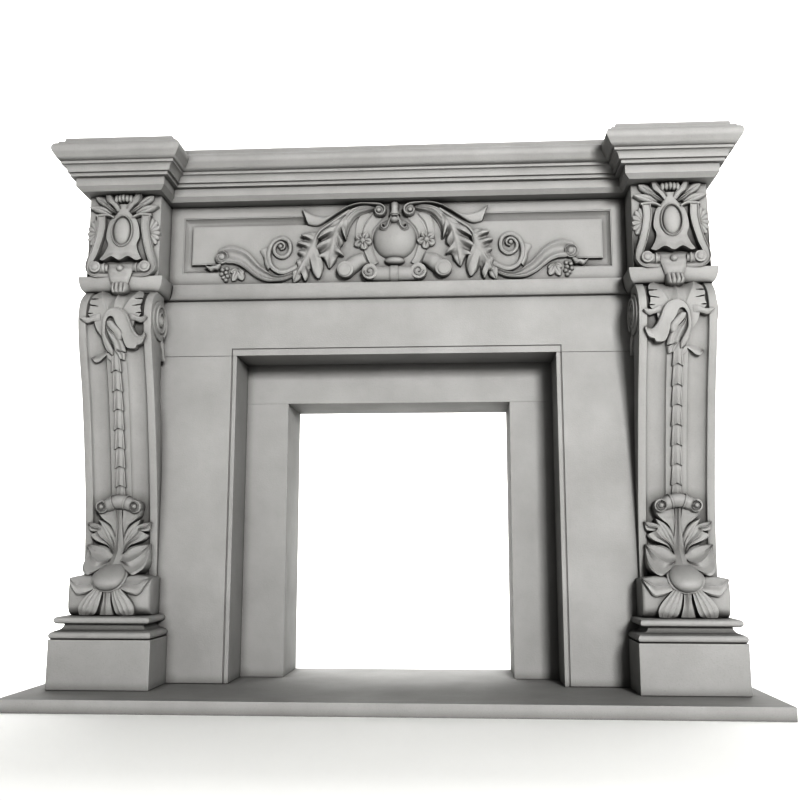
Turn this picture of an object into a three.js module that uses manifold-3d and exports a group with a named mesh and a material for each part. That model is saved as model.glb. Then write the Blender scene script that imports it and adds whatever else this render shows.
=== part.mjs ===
// A carved stone fireplace: hearth, moulded plinths, scrolled console legs, capitals, frieze and cornice.
// Millimetres, +Z up. Inside the surround group the facing plane is y = 0, the front is negative
// and the top of the hearth is z = 0.

import * as THREE from 'three';
import { mergeVertices } from 'three/addons/utils/BufferGeometryUtils.js';
import Module from 'manifold-3d';

const wasm = await Module();
wasm.setup();

// Dry joint left between neighbouring pieces.
const JOINT = 0.3;

// Hearth slab.
const HEARTH_WIDTH = 1760;
const HEARTH_DEPTH = 617;
const HEARTH_THICK = 30;
const HEARTH_FRONT = -280;

// Facing round the opening, and the wall plane behind it.
const OPENING_HALF = 420;
const OPENING_HEAD = 841;
const WALL = 140;
const QUIRK_SIDE = 12.5;
const QUIRK_HEAD = 18;
const QUIRK_WIDTH = 3;

// Set-back inner frame.
const LINING_HALF = 305;
const LINING_HEAD = 733;
const LINING_BACK = HEARTH_FRONT + HEARTH_DEPTH;
const LINING_LAP = 20;

// Piers: plinth block, base moulding, console leg and capital share one centre line.
const PIER_CENTRE = 704;
const PLINTH_HALF = 126;
const PLINTH_FRONT = -137;
const PLINTH_TOP = 118;
const BASE_TOP = 172;
const BASE_CORE = 45;
const BASE_FILL = 30;
const CONSOLE_HALF = 94.5;
const BACKING_HALF = 80;
const CAPITAL_HALF = 95;
const CAPITAL_FRONT = -100;
const BAND_BOTTOM = 992;
const BAND_TOP = 1031;
const BAND_OVERHANG = 15.5;
const BAND_CORE = 30;

// Frieze between the capitals, and the cornice above.
const FRIEZE_HALF = PIER_CENTRE - CAPITAL_HALF;
const FRIEZE_FRONT = -10;
const SOFFIT = 1253;
const CORNICE_TOP = 1385;
const CORNICE_AHEAD = 28;
const CORNICE_CORE = 40;

// Sunk panel of the frieze: half width, lower and upper edge, (inset, depth) steps of its hollow edge.
const PANEL_HALF = 573;
const PANEL_BOTTOM = 1065;
const PANEL_TOP = 1222;
const PANEL_SINK = [[0, 0], [3, 6], [12, 9]];

// Console leg, seen from the side: (height, depth) points of its front and back lines.
const CONSOLE_FRONT_LINE = [
  [172, -11], [307, -14], [409, -23], [506, -39], [712, -86],
  [860, -131], [925, -141], [965, -129], [992, -99],
];
const CONSOLE_BACK_LINE = [[172, 0], [512, 0], [642, -19], [790, -46], [850, -44], [918, -22], [992, -45]];
const BORDER_INNER = 68;
const FLUTE_OUTER = 66.5;
const FLUTE_INNER = 26;
const FLUTE_LIP = 4;
const FLUTE_DEPTH = 13;
const FLUTE_FULL_FRONT = 24;
const CONSOLE_STEPS = 8;
const CONSOLE_CROWDING = 1.4;
const WEB_LAP = 3;
const VOLUTE_CENTRE = [-78, 918];
const VOLUTE_RADIUS = 52;
const VOLUTE_PROUD = 9;
const VOLUTE_EYE = 17;
const FOOT_HALF = 104;
const FOOT_FRONT = -88;
const FOOT_BACK = -5;
const FOOT_TOP = 263;
const FOOT_ROUND = 24;
const FOOT_SWELL = [240, 335];
const HUSK_COUNT = 7;
const HUSK_PITCH = 48;
const HUSK_FIRST = 495;
const HUSK_WIDTH = 27;
const HUSK_RISE = 7;
const HUSK_LAP = 4;

// Carving: how far its blanks are let into flat and into hollow ground, and how finely they are faceted.
const SINK = 6;
const DEEP_SINK = 24;
const LEAF_STEPS = 2;
const STEM_STEPS = 5;
const ROUND_SIDES = 8;
const LEAF_EDGE = 0.45;
const MERGE_DISTANCE = 1e-4;

// Reach of the boxes that trim a piece to its course, larger than any piece.
const REACH = 1000;

const STONE_COLOUR = 0xb9b6b0;
const STONE_ROUGHNESS = 0.75;

// Moves every vertex of a geometry by a function of its x, y and z.
function reshape(geometry, move) {
  const positions = geometry.getAttribute('position');
  for (let i = 0; i < positions.count; i += 1) {
    positions.setXYZ(i, ...move(positions.getX(i), positions.getY(i), positions.getZ(i)));
  }
  return geometry;
}

// Signed volume of an indexed geometry, negative when its faces point inwards.
function signedVolume(geometry) {
  const positions = geometry.getAttribute('position');
  const corners = [new THREE.Vector3(), new THREE.Vector3(), new THREE.Vector3()];
  let volume = 0;
  for (let i = 0; i < geometry.index.count; i += 3) {
    corners.forEach((corner, k) => corner.fromBufferAttribute(positions, geometry.index.getX(i + k)));
    volume += corners[0].dot(corners[1].cross(corners[2])) / 6;
  }
  return volume;
}

// Makes a solid of a closed geometry, with its faces turned outwards.
function solid(geometry) {
  geometry.deleteAttribute('normal');
  geometry.deleteAttribute('uv');
  const merged = mergeVertices(geometry, MERGE_DISTANCE);
  const triVerts = new Uint32Array(merged.index.array);
  if (signedVolume(merged) < 0) {
    triVerts.reverse();
  }
  const vertProperties = new Float32Array(merged.getAttribute('position').array);
  return new wasm.Manifold(new wasm.Mesh({ numProp: 3, vertProperties, triVerts }));
}

// Joins geometries into one solid.
function join(geometries) {
  return geometries.map(solid).reduce((whole, piece) => whole.add(piece));
}

// Cuts geometries out of a solid.
function cut(whole, geometries) {
  return geometries.map(solid).reduce((left, tool) => left.subtract(tool), whole);
}

// Turns a solid back into a named stone mesh.
function stoneMesh(name, piece) {
  const mesh = piece.getMesh();
  const points = [];
  for (let i = 0; i < mesh.vertProperties.length; i += mesh.numProp) {
    points.push(...mesh.vertProperties.slice(i, i + 3));
  }
  const geometry = new THREE.BufferGeometry();
  geometry.setAttribute('position', new THREE.Float32BufferAttribute(points, 3));
  geometry.setIndex([...mesh.triVerts]);
  geometry.computeVertexNormals();
  const material = new THREE.MeshStandardMaterial({ color: STONE_COLOUR, roughness: STONE_ROUGHNESS });
  const stone = new THREE.Mesh(geometry, material);
  stone.name = name;
  return stone;
}

// A box between two corners.
function block(low, high) {
  const size = high.map((value, axis) => value - low[axis]);
  const box = new THREE.BoxGeometry(...size);
  return box.translate(...low.map((value, axis) => value + size[axis] / 2));
}

// A plan outline raised from one height to another, mirrored for the left hand.
function planSolid(outline, hand, bottom, top) {
  const shape = new THREE.Shape(outline.map(([x, y]) => new THREE.Vector2(hand * x, y)));
  const raised = new THREE.ExtrudeGeometry(shape, { depth: top - bottom, bevelEnabled: false });
  return raised.translate(0, 0, bottom);
}

// Sweeps a closed (overhang, height) profile along a plan path whose corners give their mitre direction.
function mouldingRun(profile, path) {
  const shape = new THREE.Shape(profile.map(([overhang, height]) => new THREE.Vector2(overhang, height)));
  const steps = path.length - 1;
  const run = new THREE.ExtrudeGeometry(shape, { depth: steps, steps, bevelEnabled: false });
  return reshape(run, (overhang, height, station) => {
    const [x, y, outX, outY] = path[Math.round(station)];
    return [x + overhang * outX, y + overhang * outY, height];
  });
}

// Points of an arc, in degrees, with both ends.
function arc([centreX, centreY], radiusX, radiusY, from, to, segments) {
  return Array.from({ length: segments + 1 }, (_, i) => {
    const angle = THREE.MathUtils.degToRad(from + ((to - from) * i) / segments);
    return [centreX + radiusX * Math.cos(angle), centreY + radiusY * Math.sin(angle)];
  });
}

// A smooth line through (height, depth) points, as a function of height.
function smoothLine(points) {
  const heights = new Float32Array(points.map(([height]) => height));
  const depths = new Float32Array(points.map(([, depth]) => depth));
  const line = new THREE.CubicInterpolant(heights, depths, 1, new Float32Array(1));
  return (height) => line.evaluate(height)[0];
}

// A leaf lobe from its root to its tip, bowed sideways, with a ridge along its middle.
function leaf(ground, root, tip, { bow = 0, width, rise, steps = LEAF_STEPS }) {
  const start = new THREE.Vector2(...root);
  const end = new THREE.Vector2(...tip);
  const span = end.clone().sub(start);
  const middle = start.clone().add(end).multiplyScalar(0.5);
  middle.add(new THREE.Vector2(-span.y, span.x).multiplyScalar(bow));
  const spine = new THREE.QuadraticBezierCurve(start, middle, end);
  const blank = new THREE.BoxGeometry(1, 1, 1, steps, 2, 1);
  return reshape(blank, (along, side, layer) => {
    const t = along + 0.5;
    const point = spine.getPoint(t);
    const tangent = spine.getTangent(t);
    const half = width * Math.max(Math.sin(Math.PI * (0.18 + 0.82 * t)), 0.06);
    const across = point.x - tangent.y * side * half;
    const up = point.y + tangent.x * side * half;
    const arch = 0.7 + 0.3 * Math.sin(Math.PI * t);
    const proud = rise * arch * (1 - (1 - LEAF_EDGE) * Math.abs(2 * side));
    return layer > 0 ? ground.at(across, up, proud) : ground.floor(across, up);
  });
}

// A ridged stem, strap or scroll through a few points, with its width given at its start, middle and end.
function stem(ground, points, { widths, rise, steps = STEM_STEPS, ridged = true }) {
  const spine = new THREE.SplineCurve(points.map(([across, up]) => new THREE.Vector2(across, up)));
  const blank = new THREE.BoxGeometry(1, 1, 1, steps, ridged ? 2 : 1, 1);
  const edge = ridged ? LEAF_EDGE : 1;
  return reshape(blank, (along, side, layer) => {
    const t = along + 0.5;
    const point = spine.getPoint(t);
    const tangent = spine.getTangent(t);
    const near = t < 0.5 ? widths[0] : widths[2];
    const width = THREE.MathUtils.lerp(near, widths[1], 1 - Math.abs(2 * t - 1));
    const across = point.x - tangent.y * side * width;
    const up = point.y + tangent.x * side * width;
    const proud = rise * (1 - (1 - edge) * Math.abs(2 * side));
    return layer > 0 ? ground.at(across, up, proud) : ground.floor(across, up);
  });
}

// A rounded boss: half an ellipsoid standing out of the ground.
function dome(ground, [across, up], [radiusAcross, radiusUp], rise, sides = ROUND_SIDES) {
  const ball = new THREE.SphereGeometry(1, sides, 4);
  return reshape(ball, (x, y, z) => {
    const sunk = y < -0.5;
    const spread = sunk ? Math.max(Math.hypot(x, z), 0.5) : 1;
    const place = [across + (radiusAcross * x) / spread, up + (radiusUp * z) / spread];
    return sunk ? ground.floor(...place) : ground.at(...place, rise * Math.max(y, 0));
  });
}

// A flat round boss, such as the end of a roll.
function disc(ground, [across, up], radius, rise) {
  const drum = new THREE.CylinderGeometry(radius, radius, 1, ROUND_SIDES);
  return reshape(drum, (x, y, z) => {
    const place = [across + x, up + z];
    return y > 0 ? ground.at(...place, rise) : ground.floor(...place);
  });
}

// A roll lying across the ground, between two places on one level.
function roll(ground, [from, to], up, radius, lift) {
  const bar = new THREE.CylinderGeometry(radius, radius, 1, ROUND_SIDES);
  return reshape(bar, (x, y, z) => {
    const across = THREE.MathUtils.lerp(from, to, y + 0.5);
    return z > -radius / 2 ? ground.at(across, up + x, lift + z) : ground.floor(across, up + x);
  });
}

// The same carving on both sides of the middle of its ground.
function mirrored(ground, carve) {
  const flipped = {
    at: (across, up, proud) => ground.at(-across, up, proud),
    floor: (across, up) => ground.floor(-across, up),
  };
  return [...carve(ground), ...carve(flipped)];
}

// A flat carving ground at a given depth, measured from a centre line and a lower edge.
function flatGround(centre, front, bottom) {
  return {
    at: (across, up, proud) => [centre + across, front - proud, bottom + up],
    floor: (across, up) => [centre + across, front + SINK, bottom + up],
  };
}

function hearthSlab() {
  const low = [-HEARTH_WIDTH / 2, HEARTH_FRONT, -HEARTH_THICK];
  const high = [HEARTH_WIDTH / 2, LINING_BACK, 0];
  return join([block(low, high)]);
}

// Plan of a pier whose inner part stops in front of the facing.
function pierPlan(half, front) {
  const outer = PIER_CENTRE + half;
  const inner = PIER_CENTRE - half;
  const behind = PIER_CENTRE - BACKING_HALF + JOINT;
  return [[outer, WALL], [outer, front], [inner, front], [inner, -JOINT], [behind, -JOINT], [behind, WALL]];
}

function plinthBlock(hand) {
  return join([planSolid(pierPlan(PLINTH_HALF, PLINTH_FRONT), hand, JOINT, PLINTH_TOP)]);
}

// Torus, scotia and torus, set back from the face of the plinth block.
function plinthBase(hand) {
  const bottom = PLINTH_TOP + JOINT;
  const profile = [
    [-BASE_CORE, bottom],
    ...arc([-9, PLINTH_TOP + 9.2], 8.8, 8.8, -85, 80, 3),
    [-11, PLINTH_TOP + 20],
    ...arc([-12, PLINTH_TOP + 36], 16, 15, 262, 178, 2),
    ...arc([-16, BASE_TOP - 9.4], 8.2, 8.2, -85, 90, 3),
    [-21, BASE_TOP],
    [-BASE_CORE, BASE_TOP],
  ];
  const outer = hand * (PIER_CENTRE + PLINTH_HALF);
  const inner = hand * (PIER_CENTRE - PLINTH_HALF);
  const path = [
    [outer, WALL, hand, 0],
    [outer, PLINTH_FRONT, hand, -1],
    [inner, PLINTH_FRONT, -hand, -1],
    [inner, -JOINT, -hand, 0],
  ];
  const fill = pierPlan(PLINTH_HALF - BASE_FILL, PLINTH_FRONT + BASE_FILL);
  return join([mouldingRun(profile, path), planSolid(fill, hand, bottom, BASE_TOP)]);
}

const consoleFront = smoothLine(CONSOLE_FRONT_LINE);
const consoleBackCurve = smoothLine(CONSOLE_BACK_LINE);
const consoleBack = (up) => Math.min(consoleBackCurve(up), -JOINT);
const consoleLow = BASE_TOP + JOINT;
const consoleHigh = BAND_BOTTOM - JOINT;

// Height of a station on the console, closer together towards its scrolled top.
function consoleHeight(t) {
  return consoleHigh - (consoleHigh - consoleLow) * (1 - t) ** CONSOLE_CROWDING;
}

// Fluted face of the console between flat borders, swept down its curved front.
function consoleBody() {
  const fluteMiddle = (FLUTE_OUTER + FLUTE_INNER) / 2;
  const fluteHalf = (FLUTE_OUTER - FLUTE_INNER) / 2;
  const flute = arc([fluteMiddle, -FLUTE_LIP], fluteHalf, FLUTE_DEPTH - FLUTE_LIP, 0, -180, 2);
  const half = [[CONSOLE_HALF, 1], [CONSOLE_HALF, 0], [BORDER_INNER, 0], ...flute];
  const other = half.map(([across, depth]) => [-across, depth]).reverse();
  const outline = [...half, ...other].map(([across, depth]) => new THREE.Vector2(across, depth));
  const options = { depth: 1, steps: CONSOLE_STEPS, bevelEnabled: false };
  const body = new THREE.ExtrudeGeometry(new THREE.Shape(outline), options);
  return reshape(body, (across, depth, t) => {
    const up = consoleHeight(t);
    const front = consoleFront(up);
    const shallow = Math.min(1, -front / FLUTE_FULL_FRONT);
    return [across, depth > 0 ? consoleBack(up) : front - depth * shallow, up];
  });
}

// Narrower web that joins the scrolled body to the wall.
function consoleWeb() {
  const web = new THREE.BoxGeometry(1, 1, 1, 1, 1, CONSOLE_STEPS);
  return reshape(web, (x, y, z) => {
    const up = consoleHeight(z + 0.5);
    const across = 2 * x * (BACKING_HALF - JOINT);
    return [across, y > 0 ? WALL : consoleBack(up) - WEB_LAP, up];
  });
}

// Round volute with its eye, on both sides of the console's top.
function consoleVolutes() {
  const [depth, up] = VOLUTE_CENTRE;
  const rounds = [[VOLUTE_RADIUS, VOLUTE_PROUD, 14], [VOLUTE_EYE, 1.5 * VOLUTE_PROUD, 6]];
  return [-1, 1].flatMap((side) => rounds.map(([radius, proud, sides]) => {
    const drum = new THREE.CylinderGeometry(radius, radius, SINK + proud, sides);
    const across = side * (CONSOLE_HALF + (proud - SINK) / 2);
    return drum.rotateZ(Math.PI / 2).translate(across, depth, up);
  }));
}

// Rounded roll that the leg stands on.
function consoleFoot() {
  const shape = new THREE.Shape();
  shape.moveTo(FOOT_BACK, consoleLow);
  shape.lineTo(FOOT_BACK, FOOT_TOP);
  shape.absarc(FOOT_FRONT + FOOT_ROUND, FOOT_TOP - FOOT_ROUND, FOOT_ROUND, Math.PI / 2, Math.PI);
  shape.absarc(FOOT_FRONT + FOOT_ROUND, consoleLow + FOOT_ROUND, FOOT_ROUND, Math.PI, Math.PI * 1.5);
  const options = { depth: 2 * FOOT_HALF, bevelEnabled: false, curveSegments: 3 };
  const foot = new THREE.ExtrudeGeometry(shape, options);
  return reshape(foot, (depth, up, across) => [across - FOOT_HALF, depth, up]);
}

// Carving ground that follows the console's curved front.
const consoleGround = {
  at: (across, up, proud) => {
    const slope = consoleFront(up + 0.5) - consoleFront(up - 0.5);
    const length = Math.hypot(1, slope);
    return [across, consoleFront(up) - proud / length, up + (proud * slope) / length];
  },
  floor: (across, up) => [across, consoleFront(up) + DEEP_SINK, up],
};

// Carving ground low on the console, swelling out over the foot roll.
const footGround = {
  at: (across, up, proud) => {
    const swell = 1 - THREE.MathUtils.smoothstep(up, ...FOOT_SWELL);
    const front = THREE.MathUtils.lerp(consoleFront(Math.max(up, consoleLow)), FOOT_FRONT, swell);
    return [across, front - proud, up];
  },
  floor: (across, up) => [across, FOOT_BACK + 1, up],
};

// Acanthus at the head of the console, its overturned tip swept towards the opening.
function consoleAcanthus() {
  const side = (ground) => [
    leaf(ground, [20, 984], [68, 952], { bow: -0.2, width: 36, rise: 13 }),
    leaf(ground, [20, 950], [87, 913], { bow: 0.25, width: 32, rise: 17 }),
  ];
  return [
    ...mirrored(consoleGround, side),
    leaf(consoleGround, [-2, 940], [72, 852], { bow: -0.1, width: 64, rise: 32 }),
    leaf(consoleGround, [-18, 930], [-6, 822], { bow: 0.15, width: 40, rise: 26 }),
    leaf(consoleGround, [-8, 890], [27, 812], { bow: -0.15, width: 40, rise: 20 }),
  ];
}

// Chain of husks down the middle of the console, each flaring to its lower edge.
function consoleHusks() {
  const chain = new THREE.BoxGeometry(1, 1, 1, 2 * HUSK_COUNT - 1, 2, 1);
  return reshape(chain, (along, side, layer) => {
    const station = Math.round((along + 0.5) * (2 * HUSK_COUNT - 1));
    const flared = station % 2 === 0;
    const up = HUSK_FIRST + HUSK_PITCH * Math.floor(station / 2) + (flared ? 0 : HUSK_PITCH - HUSK_LAP);
    const across = side * (flared ? HUSK_WIDTH : HUSK_WIDTH - HUSK_LAP);
    const proud = (flared ? HUSK_RISE : 1) * (1 - Math.abs(side));
    return layer > 0 ? consoleGround.at(across, up, proud) : consoleGround.floor(across, up);
  });
}

// Scroll bar, stem, ball and leaves at the foot of the console.
function consoleLeafCluster() {
  const side = (ground) => [
    disc(ground, [42, 441], 18, 20),
    leaf(ground, [12, 334], [60, 406], { bow: 0.12, width: 30, rise: 18 }),
    leaf(ground, [14, 336], [84, 392], { bow: 0.1, width: 50, rise: 24 }),
    leaf(ground, [18, 298], [82, 335], { bow: 0.1, width: 62, rise: 26 }),
    leaf(ground, [24, 262], [102, 260], { bow: 0.05, width: 56, rise: 12 }),
    leaf(ground, [12, 240], [54, 176], { bow: 0.1, width: 52, rise: 14 }),
  ];
  return [
    ...mirrored(footGround, side),
    stem(footGround, [[-42, 441], [0, 456], [42, 441]], { widths: [30, 30, 30], rise: 22, steps: 2 }),
    stem(footGround, [[0, 440], [0, 360], [0, 290]], { widths: [14, 20, 50], rise: 26, steps: 2 }),
    dome(footGround, [0, 266], [39, 36], 32),
    leaf(footGround, [0, 246], [0, 173], { width: 26, rise: 12 }),
  ];
}

function consoleLeg(hand) {
  const carving = [...consoleAcanthus(), consoleHusks(), ...consoleLeafCluster()];
  const pieces = [consoleBody(), consoleWeb(), ...consoleVolutes(), consoleFoot(), ...carving];
  const inPlace = pieces.map((piece) => reshape(piece, (x, y, z) => [hand * (PIER_CENTRE - x), y, z]));
  const course = block([-REACH, -REACH, consoleLow], [REACH, WALL, consoleHigh]);
  return join(inPlace).intersect(solid(course));
}

// Quarter round that is widest at its top edge.
function bandProfile(core) {
  const round = arc([0, BAND_TOP], BAND_OVERHANG, BAND_TOP - BAND_BOTTOM, -90, 0, 5);
  return [[core, BAND_BOTTOM], ...round, [core, BAND_TOP]];
}

// Cartouche, straps, leaves and shells on the face of a capital.
function capitalCarving(ground) {
  const strap = [[61, 164], [61, 110], [76, 62], [86, 30], [72, 14]];
  const side = (face) => [
    stem(face, strap, { widths: [24, 24, 20], rise: 15, steps: 4 }),
    disc(face, [66, 27], 17, 22),
    dome(face, [82, 122], [15, 38], 9, 6),
    leaf(face, [16, 176], [76, 214], { bow: 0.1, width: 24, rise: 12 }),
    leaf(face, [20, 174], [94, 185], { bow: -0.12, width: 28, rise: 14 }),
    stem(face, [[13, 184], [28, 202], [41, 220]], { widths: [16, 14, 16], rise: 20, steps: 1 }),
  ];
  return [
    ...mirrored(ground, side),
    stem(ground, [[0, 206], [0, 130], [0, 50]], { widths: [34, 80, 104], rise: 18, steps: 4 }),
    dome(ground, [0, 127], [27, 43], 31),
    dome(ground, [0, 213], [24, 9], 22, 6),
    roll(ground, [-60, 60], 27, 16, 6),
    stem(ground, [[0, 40], [0, 10], [0, -22]], { widths: [74, 58, 58], rise: 24, steps: 2 }),
    ...[-17, 0, 17].map((across) => dome(ground, [across, -27], [10, 15], 32, 6)),
  ];
}

function capital(hand) {
  const centre = hand * PIER_CENTRE;
  const outer = hand * (PIER_CENTRE + CAPITAL_HALF);
  const inner = hand * FRIEZE_HALF;
  const path = [
    [outer, WALL, hand, 0],
    [outer, CAPITAL_FRONT, hand, -1],
    [inner, CAPITAL_FRONT, -hand, -1],
    [inner, FRIEZE_FRONT - JOINT, -hand, -1],
  ];
  const low = [centre - CAPITAL_HALF, CAPITAL_FRONT, BAND_BOTTOM];
  const high = [centre + CAPITAL_HALF, WALL, SOFFIT - JOINT];
  const ground = flatGround(centre, CAPITAL_FRONT, BAND_TOP);
  const band = mouldingRun(bandProfile(-BAND_CORE), path);
  const whole = join([block(low, high), band, ...capitalCarving(ground)]);
  const course = block([-REACH, -REACH, BAND_BOTTOM], [REACH, WALL, SOFFIT - JOINT]);
  return whole.intersect(solid(course));
}

function friezeBedMoulding() {
  const half = FRIEZE_HALF - JOINT;
  const low = [-half, FRIEZE_FRONT, BAND_BOTTOM];
  const high = [half, WALL, BAND_TOP];
  const path = [[-half, FRIEZE_FRONT, 1, -1], [half, FRIEZE_FRONT, -1, -1]];
  return join([block(low, high), mouldingRun(bandProfile(0), path)]);
}

// Sunk pocket of the panel, with a hollow edge made of sloping layers.
function panelPocket() {
  const layers = PANEL_SINK.length - 1;
  const pocket = new THREE.BoxGeometry(1, 1, 1, 1, layers, 1);
  return reshape(pocket, (x, y, z) => {
    const [inset, sink] = PANEL_SINK[Math.round((y + 0.5) * layers)];
    const up = z > 0 ? PANEL_TOP - inset : PANEL_BOTTOM + inset;
    return [2 * x * (PANEL_HALF - inset), sink > 0 ? FRIEZE_FRONT + sink : FRIEZE_FRONT - 1, up];
  });
}

// Orb, volutes, roll bar and straps in the middle of the frieze.
function friezeCartouche(ground) {
  const volute = [[80, 220], [46, 216], [22, 204], [22, 184], [42, 176], [56, 190]];
  const tail = [[2, 170], [8, 150], [24, 138], [29, 150]];
  const strap = [[74, 190], [86, 150], [80, 100], [64, 60]];
  const side = (face) => [
    stem(face, volute, { widths: [14, 11, 8], rise: 24, steps: 4 }),
    stem(face, tail, { widths: [12, 12, 8], rise: 34, steps: 2, ridged: false }),
    stem(face, strap, { widths: [40, 44, 36], rise: 9, steps: 2, ridged: false }),
    dome(face, [88, 115], [25, 25], 18, 6),
    stem(face, [[78, 78], [104, 60], [126, 40]], { widths: [30, 46, 44], rise: 18, steps: 2 }),
    disc(face, [127, 37], 23, 26),
    disc(face, [62, 30], 20, 24),
  ];
  return [
    ...mirrored(ground, side),
    dome(ground, [0, 115], [60, 60], 30, 12),
    roll(ground, [-52, 52], 27, 18, 6),
    dome(ground, [0, 192], [17, 27], 28, 6),
  ];
}

// Acanthus leaves that fall from the arch on one side of the orb.
function friezeAcanthus(ground) {
  const arch = [[78, 219], [112, 216], [150, 196], [207, 158]];
  return [
    stem(ground, arch, { widths: [14, 15, 12], rise: 17, steps: 4 }),
    leaf(ground, [160, 186], [249, 206], { bow: -0.18, width: 26, rise: 11 }),
    leaf(ground, [104, 206], [172, 42], { bow: 0.2, width: 60, rise: 20 }),
    leaf(ground, [80, 206], [119, 158], { bow: 0.2, width: 24, rise: 13 }),
    leaf(ground, [112, 190], [131, 118], { bow: 0.15, width: 30, rise: 15 }),
    leaf(ground, [144, 148], [136, 73], { bow: 0.2, width: 30, rise: 15 }),
    leaf(ground, [152, 164], [202, 117], { bow: 0.1, width: 26, rise: 13 }),
    leaf(ground, [160, 138], [204, 60], { bow: 0.1, width: 34, rise: 15 }),
    leaf(ground, [186, 168], [264, 4], { bow: -0.05, width: 54, rise: 17 }),
    leaf(ground, [208, 108], [203, 14], { bow: -0.15, width: 36, rise: 15 }),
    leaf(ground, [230, 82], [268, 42], { bow: -0.1, width: 30, rise: 12 }),
  ];
}

// Curling stem with its spiral branch, grapes and vine leaf.
function friezeVine(ground) {
  const sStem = [[258, 44], [305, 25], [352, 30], [392, 58], [428, 88], [458, 93], [485, 78], [474, 57]];
  const spiral = [
    [338, 40], [350, 82], [334, 120], [308, 132], [282, 116], [278, 90], [300, 70], [326, 80], [330, 104],
  ];
  return [
    stem(ground, sStem, { widths: [26, 34, 12], rise: 16, steps: 6 }),
    stem(ground, spiral, { widths: [10, 13, 10], rise: 9, steps: 8, ridged: false }),
    dome(ground, [307, 100], [11, 11], 11, 6),
    dome(ground, [459, 31], [16, 21], 12),
    leaf(ground, [426, 48], [422, 8], { width: 42, rise: 8 }),
    leaf(ground, [478, 54], [509, 49], { bow: -0.2, width: 18, rise: 9 }),
  ];
}

function friezePanel() {
  const half = FRIEZE_HALF - JOINT;
  const bottom = BAND_TOP + JOINT;
  const top = SOFFIT - JOINT;
  const board = solid(block([-half, FRIEZE_FRONT, bottom], [half, WALL, top]));
  const ground = flatGround(0, FRIEZE_FRONT, BAND_TOP);
  const deepGround = { at: ground.at, floor: (across, up) => ground.at(across, up, -DEEP_SINK) };
  const carve = (face) => [...friezeAcanthus(face), ...friezeVine(face)];
  const carving = [...friezeCartouche(deepGround), ...mirrored(deepGround, carve)];
  const whole = cut(board, [panelPocket()]).add(join(carving));
  const course = block([-REACH, -REACH, bottom], [REACH, WALL, top]);
  return whole.intersect(solid(course));
}

// Fillets, hollow, rounded nose and stepped top, as (overhang, height above the flat soffit).
function corniceProfile() {
  const nose = arc([60, 97], 12, 15.5, -45, 88, 4);
  const hollow = arc([51, 44], 12, 16.5, 180, 95, 2);
  const steps = [[10, 0], [21.5, 11.5], [21.5, 32.5], [32.5, 33.5], [32.5, 42], [38.5, 43]];
  const quirks = [[51, 68], [56, 69.5], [63, 78]];
  const cap = [[58, 118], [47, 120], [45, CORNICE_TOP - SOFFIT]];
  const edge = [...steps, ...hollow, ...quirks, ...nose, ...cap];
  const core = [[-CORNICE_CORE, CORNICE_TOP], [-CORNICE_CORE, SOFFIT]];
  return [...edge.map(([overhang, height]) => [overhang, SOFFIT + height]), ...core];
}

function cornice() {
  const outer = PIER_CENTRE + CAPITAL_HALF;
  const inner = FRIEZE_HALF;
  const capFront = CAPITAL_FRONT - CORNICE_AHEAD;
  const middleFront = FRIEZE_FRONT - CORNICE_AHEAD;
  const path = [
    [-outer, WALL, -1, 0],
    [-outer, capFront, -1, -1],
    [-inner, capFront, 1, -1],
    [-inner, middleFront, 1, -1],
    [inner, middleFront, -1, -1],
    [inner, capFront, -1, -1],
    [outer, capFront, 1, -1],
    [outer, WALL, 1, 0],
  ];
  const inset = CORNICE_CORE / 2;
  const middle = block([-outer + inset, middleFront + inset, SOFFIT], [outer - inset, WALL, CORNICE_TOP]);
  const caps = [-1, 1].map((hand) => {
    const across = hand * PIER_CENTRE;
    const half = CAPITAL_HALF - inset;
    return block([across - half, capFront + inset, SOFFIT], [across + half, WALL - inset, CORNICE_TOP]);
  });
  return join([mouldingRun(corniceProfile(), path), middle, ...caps]);
}

// Incised line beside the opening, on a jamb or along the lintel.
function quirk(low, high) {
  return block([low[0], -1, low[1]], [high[0], QUIRK_WIDTH, high[1]]);
}

function facingJamb(hand) {
  const edge = PIER_CENTRE - BACKING_HALF;
  const [left, right] = [hand * OPENING_HALF, hand * edge].sort((a, b) => a - b);
  const line = hand * (OPENING_HALF + QUIRK_SIDE);
  const jamb = join([block([left, 0, JOINT], [right, WALL, OPENING_HEAD])]);
  return cut(jamb, [quirk([line - QUIRK_WIDTH / 2, -1], [line + QUIRK_WIDTH / 2, OPENING_HEAD + 1])]);
}

function facingLintel() {
  const edge = PIER_CENTRE - BACKING_HALF;
  const bottom = OPENING_HEAD + JOINT;
  const head = OPENING_HEAD + QUIRK_HEAD;
  const side = OPENING_HALF + QUIRK_SIDE;
  const line = QUIRK_WIDTH / 2;
  const lintel = join([block([-edge, 0, bottom], [edge, WALL, BAND_BOTTOM - JOINT])]);
  return cut(lintel, [
    quirk([-side - line, head - line], [side + line, head + line]),
    quirk([-side - line, bottom - 1], [-side + line, head]),
    quirk([side - line, bottom - 1], [side + line, head]),
  ]);
}

function liningJamb(hand) {
  const [left, right] = [hand * LINING_HALF, hand * (OPENING_HALF + LINING_LAP)].sort((a, b) => a - b);
  return join([block([left, WALL + JOINT, JOINT], [right, LINING_BACK, LINING_HEAD])]);
}

function liningLintel() {
  const half = OPENING_HALF + LINING_LAP;
  const low = [-half, WALL + JOINT, LINING_HEAD + JOINT];
  return join([block(low, [half, LINING_BACK, OPENING_HEAD + LINING_LAP])]);
}

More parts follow.
